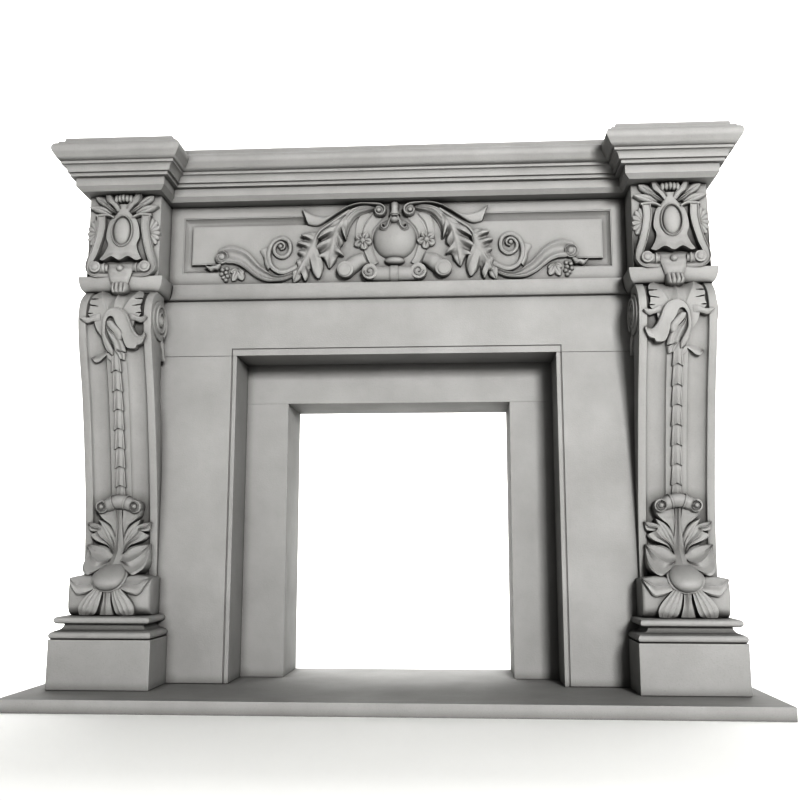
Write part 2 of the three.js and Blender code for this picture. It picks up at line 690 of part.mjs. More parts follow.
const surround = new THREE.Group();
surround.position.set(0, -HEARTH_FRONT - HEARTH_DEPTH / 2, HEARTH_THICK);
surround.add(stoneMesh('hearth_slab', hearthSlab()));
for (const [word, hand] of [['left', -1], ['right', 1]]) {
  surround.add(stoneMesh(`plinth_block_${word}`, plinthBlock(hand)));
  surround.add(stoneMesh(`plinth_base_${word}`, plinthBase(hand)));
  surround.add(stoneMesh(`console_${word}`, consoleLeg(hand)));
  surround.add(stoneMesh(`capital_${word}`, capital(hand)));
  surround.add(stoneMesh(`facing_jamb_${word}`, facingJamb(hand)));
  surround.add(stoneMesh(`lining_jamb_${word}`, liningJamb(hand)));
}
surround.add(stoneMesh('frieze_panel', friezePanel()));
surround.add(stoneMesh('frieze_bed_moulding', friezeBedMoulding()));
surround.add(stoneMesh('cornice', cornice()));
surround.add(stoneMesh('facing_lintel', facingLintel()));
surround.add(stoneMesh('lining_lintel', liningLintel()));

const fireplace = new THREE.Group();
fireplace.add(surround);

export default fireplace;
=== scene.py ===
"""Dresses the carved stone fireplace: mouldings, scrolled legs, leaf carving, stone and stage."""

import math

import bmesh
import bpy
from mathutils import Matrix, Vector


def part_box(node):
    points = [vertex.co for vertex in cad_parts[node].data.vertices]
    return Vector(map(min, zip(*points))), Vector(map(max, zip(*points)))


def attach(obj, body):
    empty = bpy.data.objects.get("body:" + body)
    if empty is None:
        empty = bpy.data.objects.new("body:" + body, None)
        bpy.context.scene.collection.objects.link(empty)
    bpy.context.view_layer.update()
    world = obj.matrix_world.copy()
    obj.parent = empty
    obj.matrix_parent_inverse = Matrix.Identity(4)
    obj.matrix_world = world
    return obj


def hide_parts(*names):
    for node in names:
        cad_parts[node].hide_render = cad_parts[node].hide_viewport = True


bl_info = {
    "name": "Carved Stone Fireplace",
    "version": (1, 0, 0),
    "blender": (4, 5, 0),
    "location": "View3D > Sidebar > Fireplace",
    "description": "Builds a carved stone fireplace over its packed frame",
    "category": "Add Mesh",
}

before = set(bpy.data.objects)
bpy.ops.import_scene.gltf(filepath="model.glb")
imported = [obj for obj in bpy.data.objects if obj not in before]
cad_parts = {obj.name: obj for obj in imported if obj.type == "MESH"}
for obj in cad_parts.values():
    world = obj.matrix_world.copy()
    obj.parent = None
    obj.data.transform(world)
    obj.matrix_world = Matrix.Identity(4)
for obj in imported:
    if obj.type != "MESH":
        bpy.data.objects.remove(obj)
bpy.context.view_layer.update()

# Lengths are in millimetres from the facing plane (y), the hearth's top (z) and the centre line (x).
MM = 0.001
FACING_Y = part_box("facing_lintel")[0][1]
HEARTH_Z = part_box("hearth_slab")[1][2]


def local_box(node):
    """Lowest and highest corner of a frame node, in the script's millimetres."""
    corners = []
    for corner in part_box(node):
        corners.append(((corner[0]) / MM, (corner[1] - FACING_Y) / MM, (corner[2] - HEARTH_Z) / MM))
    return corners


PLINTH_LOW, PLINTH_HIGH = local_box("plinth_block_right")
BASE_LOW, BASE_HIGH = local_box("plinth_base_right")
CONSOLE_LOW, CONSOLE_HIGH = local_box("console_right")
CAPITAL_LOW, CAPITAL_HIGH = local_box("capital_right")
BED_LOW, BED_HIGH = local_box("frieze_bed_moulding")
FRIEZE_LOW, FRIEZE_HIGH = local_box("frieze_panel")
CORNICE_LOW, CORNICE_HIGH = local_box("cornice")

JOINT = 0.3
WALL = CAPITAL_HIGH[1]
PIER = (PLINTH_LOW[0] + PLINTH_HIGH[0]) / 2
PLINTH_FRONT = PLINTH_LOW[1]
BAND_BOTTOM = BED_LOW[2]
BAND_TOP = BED_HIGH[2]
BAND_OVERHANG = 15.5
CAPITAL_HALF = PIER - FRIEZE_HIGH[0] - JOINT
CAPITAL_FRONT = -100.0
FRIEZE_FRONT = BED_LOW[1] + BAND_OVERHANG
SOFFIT = CORNICE_LOW[2]
CORNICE_TOP = CORNICE_HIGH[2]
CORNICE_AHEAD = 28.0
BACKING_HALF = 80.0

# Console leg: (height, depth) points of its front and back lines, and the section of its fluted face.
CONSOLE_FRONT_LINE = (
    (172, -11), (307, -14), (409, -23), (506, -39), (712, -86), (860, -131), (925, -141), (965, -129), (992, -99),
)
CONSOLE_BACK_LINE = (
    (172, -0.3), (400, -0.3), (512, -1), (642, -19), (790, -46), (850, -44), (918, -22), (992, -45),
)
CONSOLE_HALF = 94.5
BORDER_INNER = 75.0
FLUTE_OUTER = 73.5
FLUTE_INNER = 26.0
FLUTE_LIP = 4.0
FLUTE_DEPTH = 15.0
FLUTE_FULL_FRONT = 24.0
VOLUTE_CENTRE = (-78.0, 918.0)
VOLUTE_RADIUS = 52.0
FOOT_FRONT = -88.0
FOOT_HALF = 103.5
FOOT_TOP = 263.0
FOOT_FLOOR = -4.0
HUSK_COUNT = 8
HUSK_PITCH = 48.0
HUSK_PEAK = 6.0
HUSK_FIRST = 443.0

# Sunk panel of the frieze.
PANEL_HALF = 573.0
PANEL_BOTTOM = 1065.0
PANEL_TOP = 1222.0
PANEL_LOW_END = 468.0
PANEL_HIGH_END = 212.0
PANEL_COVE = 20.0
PANEL_SINK = 13.0
COVE_STEEP = 66.0
PANEL_FILLET = 1.0
PANEL_CLEAR = 3.0

CARVING_SINK = 15.0
LOBE_REACH = 0.12
LOBE_SIZE = 5.5
SHARP_ANGLE = math.radians(38)


def row(x, y, z):
    """A place in the script's millimetres, as a point of the frame."""
    return Vector((x * MM, y * MM + FACING_Y, z * MM + HEARTH_Z))


def arc(centre, radius_x, radius_y, start, end, steps):
    """Points of an arc between two angles in degrees."""
    points = []
    for i in range(steps + 1):
        angle = math.radians(start + (end - start) * i / steps)
        points.append((centre[0] + radius_x * math.cos(angle), centre[1] + radius_y * math.sin(angle)))
    return points


def along_line(points, at):
    """Smooth height of a line through (position, height) points."""
    at = min(max(at, points[0][0]), points[-1][0])
    last = len(points) - 2
    i = min(last, max(k for k in range(len(points)) if points[k][0] <= at))
    before, start, end, after = (points[max(i - 1, 0)], points[i], points[i + 1], points[min(i + 2, last + 1)])
    span = end[0] - start[0]
    t = (at - start[0]) / span
    slope_in = (end[1] - before[1]) / (end[0] - before[0]) * span
    slope_out = (after[1] - start[1]) / (after[0] - start[0]) * span
    return (
        start[1] * (2 * t**3 - 3 * t**2 + 1)
        + slope_in * (t**3 - 2 * t**2 + t)
        + end[1] * (3 * t**2 - 2 * t**3)
        + slope_out * (t**3 - t**2)
    )


def smoothstep(value, low, high):
    """Soft step from 0 to 1 between two values."""
    t = min(max((value - low) / (high - low), 0.0), 1.0)
    return t * t * (3 - 2 * t)


def blend(values, s):
    """Value at s along a short list spread evenly from 0 to 1."""
    place = min(max(s, 0.0), 1.0) * (len(values) - 1)
    i = min(int(place), len(values) - 2)
    t = place - i
    t = t * t * (3 - 2 * t)
    return values[i] * (1 - t) + values[i + 1] * t


def smooth_path(points):
    """A function that gives the place and direction along a smooth line through points."""
    knots = [Vector(p) for p in points]
    count = len(knots) - 1

    def path(s):
        place = min(max(s, 0.0), 1.0) * count
        i = min(int(place), count - 1)
        t = place - i
        a, b = knots[max(i - 1, 0)], knots[i]
        c, d = knots[i + 1], knots[min(i + 2, count)]
        point = 0.5 * (2 * b + (c - a) * t + (2 * a - 5 * b + 4 * c - d) * t**2 + (3 * b - a - 3 * c + d) * t**3)
        tangent = 0.5 * ((c - a) + 2 * (2 * a - 5 * b + 4 * c - d) * t + 3 * (3 * b - a - 3 * c + d) * t**2)
        return point, tangent.normalized()

    return path


def calm_place(path, s):
    """Place along a line with its lobes and notches averaged out."""
    reach = LOBE_REACH * min(1.0, 4 * s, 4 * (1 - s))
    total = Vector((0.0, 0.0))
    for i in range(-2, 3):
        total += path(s + reach * i / 2)[0]
    return total / 5


def loft(bm, loops):
    """A closed solid through loops of equal point count, capped at both ends; gives its vertices."""
    ring = [bm.verts.new(point) for point in loops[0]]
    every = list(ring)
    edges = [bm.edges.new((ring[i - 1], ring[i])) for i in range(len(ring))]
    bmesh.ops.contextual_create(bm, geom=edges)
    for points in loops[1:]:
        made = bmesh.ops.extrude_edge_only(bm, edges=edges)["geom"]
        new_verts = {g for g in made if isinstance(g, bmesh.types.BMVert)}
        edges = [g for g in made if isinstance(g, bmesh.types.BMEdge) and set(g.verts) <= new_verts]
        ring = [next(e.other_vert(v) for e in v.link_edges if e.other_vert(v) in new_verts) for v in ring]
        for vert, point in zip(ring, points):
            vert.co = point
        every += ring
    bmesh.ops.contextual_create(bm, geom=edges)
    return every


def box_loops(low, high):
    """The two plan loops of a block between two corners."""
    loops = []
    for z in (low[2], high[2]):
        plan = ((low[0], low[1]), (high[0], low[1]), (high[0], high[1]), (low[0], high[1]))
        loops.append([row(x, y, z) for x, y in plan])
    return loops


def moulding(bm, profile, stations):
    """Sweeps an (overhang, height) profile along mitred plan stations, closed back to each station's root."""
    bottom, top = profile[0][1], profile[-1][1]
    loops = []
    for x, y, out_x, out_y, root_x, root_y in stations:
        loop = [row(x + d * out_x, y + d * out_y, z) for d, z in profile]
        loops.append(loop + [row(root_x, root_y, top), row(root_x, root_y, bottom)])
    loft(bm, loops)


def round_arrises(bm, width, angle=SHARP_ANGLE):
    """Takes the sharpness off the arrises of cut stone."""
    bmesh.ops.remove_doubles(bm, verts=bm.verts[:], dist=0.02 * MM)
    bmesh.ops.recalc_face_normals(bm, faces=bm.faces[:])
    edges = [e for e in bm.edges if len(e.link_faces) == 2 and e.calc_face_angle(0.0) > angle]
    bmesh.ops.bevel(
        bm, geom=edges, offset=width, offset_type="OFFSET", segments=2, profile=0.5,
        affect="EDGES", material=-1, clamp_overlap=True,
    )


def round_section(c):
    """Half-round band."""
    return 0.3 + 0.7 * math.sqrt(max(0.0, 1 - c * c))


def flat_section(c):
    """Flat band with eased edges."""
    return 1.0 - 0.25 * abs(c) ** 6


def ridged_round_section(c):
    """Round band with a fine groove beside its middle."""
    return round_section(c) - 0.12 * math.exp(-(((c + 0.3) / 0.12) ** 2))


def rimmed_section(c):
    """Strap with a raised rim along both edges."""
    rim = math.exp(-(((abs(c) - 0.82) / 0.14) ** 2))
    return 0.74 + 0.26 * rim - 0.2 * abs(c) ** 12


def ridged_section(c):
    """Stem with a sharp ridge between two hollows."""
    return 0.45 + 0.55 * (1 - abs(c)) ** 1.3 + 0.18 * abs(c) ** 3


def fluted_section(c):
    """Broad stem with a hollow between two rounded edges."""
    return 0.55 + 0.45 * math.exp(-(((abs(c) - 0.66) / 0.3) ** 2))


def leaf_section(c):
    """Leaf with a ridge down its middle, hollow beside it and a turned edge."""
    return 0.62 + 0.38 * math.exp(-((c / 0.22) ** 2)) + 0.22 * abs(c) ** 3 - 0.34 * abs(c) ** 10


def hood_section(c):
    """Leaf that rolls over its upper edge and falls away to the lower one."""
    return 1.0 - 0.16 * (c + 0.6) ** 2 - 0.2 * abs(c) ** 8


def acanthus_section(c):
    """Broad leaf with three ridges and hollows between them."""
    return 0.74 + 0.2 * math.cos(2.4 * math.pi * c) + 0.08 * (1 - c * c) - 0.35 * abs(c) ** 12


def veiled_section(c):
    """Roll that turns under towards its lower edge, with three flowing ridges."""
    return undercut_section(c) + 0.07 * math.cos(3.2 * math.pi * (c + 0.2))


def undercut_section(c):
    """Roll that turns under towards its lower edge."""
    return 1.0 - 0.85 * smoothstep(c, -0.1, 1.0) - 0.2 * max(0.0, -c) ** 8


def tongue_section(c):
    """Broad leaf tip, softly crowned, with a fine turned edge."""
    return 0.86 + 0.12 * math.cos(math.pi * (c - 0.2)) + 0.06 * abs(c) ** 4 - 0.2 * abs(c) ** 14


def fold_section(c):
    """Leaf folded over: a fine raised rim along the outer edge and a broad, softly hollowed face."""
    t = (c + 1) / 2
    return 0.9 + 0.1 * math.exp(-(((t - 0.12) / 0.1) ** 2)) - 0.06 * math.sin(math.pi * t) - 0.25 * (1 - t) ** 20 - 0.14 * t**12


def twin_section(c):
    """Two flowing ridges side by side."""
    return 0.76 + 0.22 * math.cos(2 * math.pi * (c + 0.5)) - 0.25 * abs(c) ** 10


def half_section(c):
    """Half of a leaf, from its midrib out to a thin edge."""
    t = (c + 1) / 2
    return 0.85 + 0.25 * math.sin(math.pi * t) - 0.35 * t**4


def sickle_section(c):
    """Leaf that rises from the ground to a free lower edge; used with a rise below the ground."""
    return 1.75 - 1.75 * smoothstep(c, -1.0, 0.9)


def husk_section(c):
    """A sharp ridge between two creases, with a low facet outside each."""
    return 0.4 + 0.6 * max(1 - abs(c) / 0.6, 0.0) + 0.25 * max(1 - abs(abs(c) - 0.8) / 0.2, 0.0)


def veined_section(c):
    """Petal with a few fine veins."""
    return 0.72 + 0.28 * (1 - c * c) + 0.07 * math.cos(13 * c)


class Carver:
    """Adds carved forms to a mesh, over a ground that places (across, up, proud) on the stone."""

    def __init__(self, bm, ground, floor, side=1):
        self.bm = bm
        self.ground = ground
        self.floor = floor
        self.side = side

    def form(self, along, across, surface):
        """A closed form: a grid raised by surface(s, c) and walled down into the stone."""
        bm = self.bm
        top = bmesh.ops.create_grid(bm, x_segments=along, y_segments=across, size=1.0)["verts"]
        rim = {e for v in top for e in v.link_edges if e.is_boundary}
        made = bmesh.ops.extrude_edge_only(bm, edges=list(rim))["geom"]
        low = {g for g in made if isinstance(g, bmesh.types.BMVert)}
        low_rim = [g for g in made if isinstance(g, bmesh.types.BMEdge) and set(g.verts) <= low]
        bmesh.ops.contextual_create(bm, geom=low_rim)
        for vert in list(top) + list(low):
            u, v, h = surface((vert.co.x + 1) / 2, vert.co.y)
            place = self.floor(u * self.side, v) if vert in low else self.ground(u * self.side, v, h)
            vert.co = row(*place)
        faces = {f for v in top for f in v.link_faces} | {f for v in low for f in v.link_faces}
        bmesh.ops.recalc_face_normals(bm, faces=list(faces))

    def leaf(self, root, tip, width, rise, bow=0.0, belly=0.42, stalk=0.4, crease=0.22, edge=0.4,
             lift=0.0, point=0.75, teeth=0, along=18, across=10):
        """One lobe of a leaf, bowed sideways, with a creased midrib and a lifted tip."""
        start, end = Vector(root), Vector(tip)
        chord = end - start
        middle = (start + end) / 2 + Vector((-chord.y, chord.x)) * bow

        def surface(s, c):
            spine = start * (1 - s) ** 2 + middle * 2 * s * (1 - s) + end * s * s
            tangent = ((middle - start) * (1 - s) + (end - middle) * s).normalized()
            if s < belly:
                half = stalk + (1 - stalk) * math.sin(math.pi / 2 * s / belly)
            else:
                half = math.cos(math.pi / 2 * (s - belly) / (1 - belly)) ** point
            if teeth:
                half *= 1 - 0.16 * (s * teeth % 1.0) * min(1.0, 3 * s)
            half = max(half, 0.03) * width / 2
            place = spine + Vector((-tangent.y, tangent.x)) * half * c
            crown = edge + (1 - edge) * max(0.0, 1 - abs(c) ** 2.4) ** 0.7
            crown -= crease * math.exp(-((c / 0.2) ** 2)) * (1 - s * s)
            swell = 0.78 + 0.22 * math.sin(math.pi * min(1.0, 1.2 * s)) + lift * s**3
            return place.x, place.y, rise * swell * crown

        self.form(along, across, surface)

    def band(self, points, widths, rises, section, along=None, across=10):
        """A swept band, stem or strap with a cross-section of its own."""
        path = smooth_path(points)

        def surface(s, c):
            place, tangent = path(s)
            place = place + Vector((-tangent.y, tangent.x)) * c * blend(widths, s) / 2
            return place.x, place.y, blend(rises, s) * section(c)

        self.form(along or 7 * (len(points) - 1), across, surface)

    def plate(self, left, right, rises, section=leaf_section, along=None, across=12):
        """A leaf or strap between two edge lines."""
        left_path, right_path = smooth_path(left), smooth_path(right)

        def surface(s, c):
            place = left_path(s)[0].lerp(right_path(s)[0], (c + 1) / 2)
            return place.x, place.y, blend(rises, s) * section(c)

        self.form(along or 6 * (max(len(left), len(right)) - 1), across, surface)

    def acanthus(self, midrib, left, right, rises, sweep=0.1, depth=0.4, along=90, across=26):
        """A leaf with lobed edges; a soft ridge runs from its midrib out to the tip of every lobe."""
        spine, left_edge, right_edge = smooth_path(midrib), smooth_path(left), smooth_path(right)

        def surface(s, c):
            out = abs(c)
            path = left_edge if c < 0 else right_edge
            root, tip, calm = spine(s - sweep * math.sin(math.pi * s))[0], path(s)[0], calm_place(path, s)
            place = root.lerp(calm, out) + (tip - calm) * smoothstep(out, 0.2, 1.0)
            reach = (calm - root).normalized()
            lobe = min(max((tip - calm).dot(reach) / LOBE_SIZE, -1.0), 1.0)
            crown = 0.82 + 0.18 * math.exp(-((out / 0.16) ** 2)) - 0.3 * out**5
            return place.x, place.y, blend(rises, s) * crown * (1 + depth * lobe * smoothstep(out, 0.05, 0.7))

        self.form(along, across, surface)

    def spiral(self, centre, outer, inner, start, turns, width, rise):
        """A round band wound about a centre; negative turns wind clockwise."""
        steps = max(6, round(abs(turns) * 10))
        points = []
        for i in range(steps + 1):
            angle = math.radians(start + 360 * turns * i / steps)
            radius = outer + (inner - outer) * i / steps
            points.append((centre[0] + radius * math.cos(angle), centre[1] + radius * math.sin(angle)))
        self.band(points, (width, width * 0.7), (rise, rise), round_section, along=3 * steps, across=6)

    def boss(self, centre, radii, rise, base=0.0, power=0.5, rings=12):
        """A round boss on an oval plan: rings that close in from a wall to the crown."""
        count, steps = 4 * rings, rings // 2 + 3
        stations = [(1.0, None)]
        for i in range(steps):
            reach = math.cos(0.48 * math.pi * i / (steps - 1))
            stations.append((reach, base + rise * (1 - reach * reach) ** power))
        loops = []
        for reach, height in stations:
            loop = []
            for i in range(count):
                angle = 2 * math.pi * i / count
                u = (centre[0] + radii[0] * reach * math.cos(angle)) * self.side
                v = centre[1] + radii[1] * reach * math.sin(angle)
                loop.append(row(*(self.floor(u, v) if height is None else self.ground(u, v, height))))
            loops.append(loop)
        verts = loft(self.bm, loops)
        bmesh.ops.recalc_face_normals(self.bm, faces=list({f for v in verts for f in v.link_faces}))


def new_piece(context, bm, name, node):
    """Turns a mesh into a named stone piece that stands for a frame node."""
    bmesh.ops.remove_doubles(bm, verts=bm.verts[:], dist=0.005 * MM)
    mesh = bpy.data.meshes.new(name)
    bm.to_mesh(mesh)
    bm.free()
    mesh.shade_smooth()
    mesh.set_sharp_from_angle(angle=SHARP_ANGLE)
    piece = bpy.data.objects.new(name, mesh)
    context.scene.collection.objects.link(piece)
    piece.data.materials.append(stone_material(context))
    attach(piece, "root")
    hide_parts(node)
    return piece


def both_hands():
    """Names and mirror signs of the left and right piers."""
    return (("left", -1), ("right", 1))


class FireplaceStone(bpy.types.PropertyGroup):
    """Colour and surface of the stone, and the colour of the painted shade in its hollows."""

    light: bpy.props.FloatVectorProperty(
        name="Light Stone", description="Colour of the clean stone", subtype="COLOR", default=(0.236, 0.234, 0.229))
    dark: bpy.props.FloatVectorProperty(
        name="Dark Stone", description="Colour of the darker clouds in the stone", subtype="COLOR",
        default=(0.208, 0.206, 0.201))
    speck: bpy.props.FloatVectorProperty(
        name="Specks", description="Colour of the fine dark grains", subtype="COLOR", default=(0.12, 0.118, 0.115))
    # The next two settings paint shade into the hollows: a dark colour mixed into the stone's colour where ambient
    # occlusion finds a recess.
    painted_shade: bpy.props.FloatVectorProperty(
        name="Painted Shade", description="Colour of the dust in the hollows", subtype="COLOR", default=(0.055, 0.053, 0.05))
    painted_shade_amount: bpy.props.FloatProperty(
        name="Painted Shade Amount", description="How much dust lies in the hollows", subtype="FACTOR", default=0.8,
        min=0.0, max=1.0)
    roughness: bpy.props.FloatProperty(
        name="Roughness", description="How matt the honed face is", subtype="FACTOR", default=0.6, min=0.0, max=1.0)
    arris: bpy.props.FloatProperty(
        name="Arris", description="Width of the eased edges of the cut stone", unit="LENGTH", default=0.0016)


class FireplaceStage(bpy.types.PropertyGroup):
    """Camera, lights and floor."""

    lens: bpy.props.FloatProperty(
        name="Lens", description="Focal length of the camera", subtype="DISTANCE_CAMERA", default=42.32)
    key_power: bpy.props.FloatProperty(
        name="Key Light", description="Power of the main light", unit="POWER", default=620.0)
    fill_power: bpy.props.FloatProperty(
        name="Fill Light", description="Power of the soft light from the other side", unit="POWER", default=8.0)
    back_power: bpy.props.FloatProperty(
        name="Backdrop Light", description="Power of the light on the backdrop", unit="POWER", default=1100.0)
    ambient: bpy.props.FloatProperty(
        name="Ambient", description="Strength of the soft light from all round", default=0.015)
    gamma: bpy.props.FloatProperty(
        name="Gamma", description="Gamma of the view; lower is deeper in the shades", default=0.72)
    floor: bpy.props.FloatVectorProperty(
        name="Floor", description="Colour of the floor", subtype="COLOR", default=(0.72, 0.72, 0.71))


def stone_grain_group():
    """Clouds, fine grains and pits of the stone, as a shared node group."""
    group = bpy.data.node_groups.get("stone_grain")
    if group:
        return group
    group = bpy.data.node_groups.new("stone_grain", "ShaderNodeTree")
    for name in ("Light", "Dark", "Speck"):
        group.interface.new_socket(name=name, in_out="INPUT", socket_type="NodeSocketColor")
    group.interface.new_socket(name="Roughness", in_out="INPUT", socket_type="NodeSocketFloat")
    group.interface.new_socket(name="Color", in_out="OUTPUT", socket_type="NodeSocketColor")
    group.interface.new_socket(name="Roughness", in_out="OUTPUT", socket_type="NodeSocketFloat")
    group.interface.new_socket(name="Height", in_out="OUTPUT", socket_type="NodeSocketFloat")
    nodes, links = group.nodes, group.links
    inputs, outputs = nodes.new("NodeGroupInput"), nodes.new("NodeGroupOutput")
    place = nodes.new("ShaderNodeTexCoord")
    clouds = nodes.new("ShaderNodeTexNoise")
    clouds.inputs["Scale"].default_value = 5.0
    clouds.inputs["Detail"].default_value = 5.0
    clouds.inputs["Roughness"].default_value = 0.6
    grains = nodes.new("ShaderNodeTexNoise")
    grains.inputs["Scale"].default_value = 420.0
    grains.inputs["Detail"].default_value = 3.0
    pits = nodes.new("ShaderNodeTexVoronoi")
    pits.inputs["Scale"].default_value = 260.0
    for texture in (clouds, grains, pits):
        links.new(place.outputs["Object"], texture.inputs["Vector"])
    cloud_ramp = nodes.new("ShaderNodeMapRange")
    cloud_ramp.inputs["From Min"].default_value = 0.35
    cloud_ramp.inputs["From Max"].default_value = 0.68
    links.new(clouds.outputs["Fac"], cloud_ramp.inputs["Value"])
    cloud_mix = nodes.new("ShaderNodeMix")
    cloud_mix.data_type = "RGBA"
    links.new(cloud_ramp.outputs["Result"], cloud_mix.inputs["Factor"])
    links.new(inputs.outputs["Light"], cloud_mix.inputs["A"])
    links.new(inputs.outputs["Dark"], cloud_mix.inputs["B"])
    speck_ramp = nodes.new("ShaderNodeMapRange")
    speck_ramp.inputs["From Min"].default_value = 0.58
    speck_ramp.inputs["From Max"].default_value = 0.78
    speck_ramp.inputs["To Max"].default_value = 0.32
    links.new(grains.outputs["Fac"], speck_ramp.inputs["Value"])
    speck_mix = nodes.new("ShaderNodeMix")
    speck_mix.data_type = "RGBA"
    links.new(speck_ramp.outputs["Result"], speck_mix.inputs["Factor"])
    links.new(cloud_mix.outputs["Result"], speck_mix.inputs["A"])
    links.new(inputs.outputs["Speck"], speck_mix.inputs["B"])
    links.new(speck_mix.outputs["Result"], outputs.inputs["Color"])
    gloss = nodes.new("ShaderNodeMath")
    gloss.operation = "MULTIPLY_ADD"
    gloss.inputs[1].default_value = 0.18
    links.new(clouds.outputs["Fac"], gloss.inputs[0])
    links.new(inputs.outputs["Roughness"], gloss.inputs[2])
    links.new(gloss.outputs["Value"], outputs.inputs["Roughness"])
    relief = nodes.new("ShaderNodeMath")
    relief.operation = "MULTIPLY_ADD"
    relief.inputs[1].default_value = 0.6
    links.new(grains.outputs["Fac"], relief.inputs[0])
    links.new(pits.outputs["Distance"], relief.inputs[2])
    links.new(relief.outputs["Value"], outputs.inputs["Height"])
    return group


def painted_recess_shade_group():
    """Painted shade: a mask of the hollows from ambient occlusion that darkens the colour there, as a shared node
    group.
    """
    group = bpy.data.node_groups.get("painted_recess_shade")
    if group:
        return group
    group = bpy.data.node_groups.new("painted_recess_shade", "ShaderNodeTree")
    group.interface.new_socket(name="Color", in_out="INPUT", socket_type="NodeSocketColor")
    group.interface.new_socket(name="Painted Shade", in_out="INPUT", socket_type="NodeSocketColor")
    group.interface.new_socket(name="Amount", in_out="INPUT", socket_type="NodeSocketFloat")
    group.interface.new_socket(name="Color", in_out="OUTPUT", socket_type="NodeSocketColor")
    nodes, links = group.nodes, group.links
    inputs, outputs = nodes.new("NodeGroupInput"), nodes.new("NodeGroupOutput")
    # Ambient occlusion finds the hollows; the dark colour mixed in there is painted shade.
    shade = nodes.new("ShaderNodeAmbientOcclusion")
    shade.samples = 8
    shade.inputs["Distance"].default_value = 0.03
    depth = nodes.new("ShaderNodeMapRange")
    depth.inputs["From Min"].default_value = 0.9
    depth.inputs["From Max"].default_value = 0.25
    links.new(shade.outputs["AO"], depth.inputs["Value"])
    amount = nodes.new("ShaderNodeMath")
    amount.operation = "MULTIPLY"
    links.new(depth.outputs["Result"], amount.inputs[0])
    links.new(inputs.outputs["Amount"], amount.inputs[1])
    mix = nodes.new("ShaderNodeMix")
    mix.data_type = "RGBA"
    links.new(amount.outputs["Value"], mix.inputs["Factor"])
    links.new(inputs.outputs["Color"], mix.inputs["A"])
    links.new(inputs.outputs["Painted Shade"], mix.inputs["B"])
    links.new(mix.outputs["Result"], outputs.inputs["Color"])
    return group


def stone_material(context):
    """Finely honed grey stone."""
    material = bpy.data.materials.get("honed_stone")
    if material:
        return material
    settings = context.scene.fireplace_stone
    material = bpy.data.materials.new("honed_stone")
    material.use_nodes = True
    nodes, links = material.node_tree.nodes, material.node_tree.links
    shader = nodes["Principled BSDF"]
    shader.inputs["Specular IOR Level"].default_value = 0.35
    grain = nodes.new("ShaderNodeGroup")
    grain.node_tree = stone_grain_group()
    grain.inputs["Light"].default_value = (*settings.light, 1.0)
    grain.inputs["Dark"].default_value = (*settings.dark, 1.0)
    grain.inputs["Speck"].default_value = (*settings.speck, 1.0)
    grain.inputs["Roughness"].default_value = settings.roughness
    bump = nodes.new("ShaderNodeBump")
    bump.inputs["Strength"].default_value = 0.25
    bump.inputs["Distance"].default_value = 0.0006
    # Painted shade: the base colour is darkened towards the hollows, by ambient occlusion.
    painted_shade = nodes.new("ShaderNodeGroup")
    painted_shade.node_tree = painted_recess_shade_group()
    painted_shade.inputs["Painted Shade"].default_value = (*settings.painted_shade, 1.0)
    painted_shade.inputs["Amount"].default_value = settings.painted_shade_amount
    links.new(grain.outputs["Color"], painted_shade.inputs["Color"])
    links.new(painted_shade.outputs["Color"], shader.inputs["Base Color"])
    links.new(grain.outputs["Roughness"], shader.inputs["Roughness"])
    links.new(grain.outputs["Height"], bump.inputs["Height"])
    links.new(bump.outputs["Normal"], shader.inputs["Normal"])
    return material


class FIREPLACE_OT_blocks(bpy.types.Operator):
    """Gives the plain cut blocks, hearth, facing and inner frame, their stone and eased edges"""

    bl_idname = "fireplace.blocks"
    bl_label = "Plain Blocks"

    def execute(self, context):
        names = ["hearth_slab", "facing_lintel", "lining_lintel"]
        for word, _ in both_hands():
            names += [f"plinth_block_{word}", f"facing_jamb_{word}", f"lining_jamb_{word}"]
        for name in names:
            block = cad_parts[name]
            block.data.materials.clear()
            block.data.materials.append(stone_material(context))
            weld = block.modifiers.new("weld", "WELD")
            weld.merge_threshold = 0.01 * MM
            ease = block.modifiers.new("eased_arrises", "BEVEL")
            ease.width = context.scene.fireplace_stone.arris * (0.2 if name.startswith("lining") else 1.0)
            ease.segments = 3
            ease.limit_method = "ANGLE"
            ease.angle_limit = SHARP_ANGLE
            ease.harden_normals = False
        return {"FINISHED"}


class FIREPLACE_OT_bases(bpy.types.Operator):
    """Runs the torus and scotia mouldings round both plinths"""

    bl_idname = "fireplace.bases"
    bl_label = "Plinth Bases"

    def execute(self, context):
        bottom, top = BASE_LOW[2], BASE_HIGH[2]
        profile = [(-24.0, bottom)]
        profile += arc((-9.0, bottom + 8.9), 8.9, 8.9, -90, 82, 12)
        profile += [(-9.0, bottom + 18.6), (-11.0, bottom + 19.6)]
        profile += arc((-12.0, bottom + 35.6), 16.0, 15.4, 262, 178, 10)
        profile += arc((-16.0, top - 9.2), 8.4, 8.4, -88, 88, 12)
        profile += [(-20.5, top - 0.4), (-21.0, top)]
        behind = PIER - BACKING_HALF + JOINT
        half = PLINTH_HIGH[0] - PIER
        for word, hand in both_hands():
            outer, inner, root = hand * (PIER + half), hand * (PIER - half), hand * behind
            bm = bmesh.new()
            moulding(bm, profile, (
                (outer, WALL, hand, 0, root, WALL),
                (outer, PLINTH_FRONT, hand, -1, root, -JOINT),
                (inner, PLINTH_FRONT, -hand, -1, root, -JOINT),
                (inner, -JOINT, -hand, 0, root, -JOINT),
            ))
            bmesh.ops.recalc_face_normals(bm, faces=bm.faces[:])
            new_piece(context, bm, f"base_moulding_{word}", f"plinth_base_{word}")
        return {"FINISHED"}


def console_front(up):
    """Depth of the console's curved face at a height."""
    return along_line(CONSOLE_FRONT_LINE, up)


def console_back(up):
    """Depth of the scrolled body's back line at a height."""
    return min(along_line(CONSOLE_BACK_LINE, up), -JOINT)


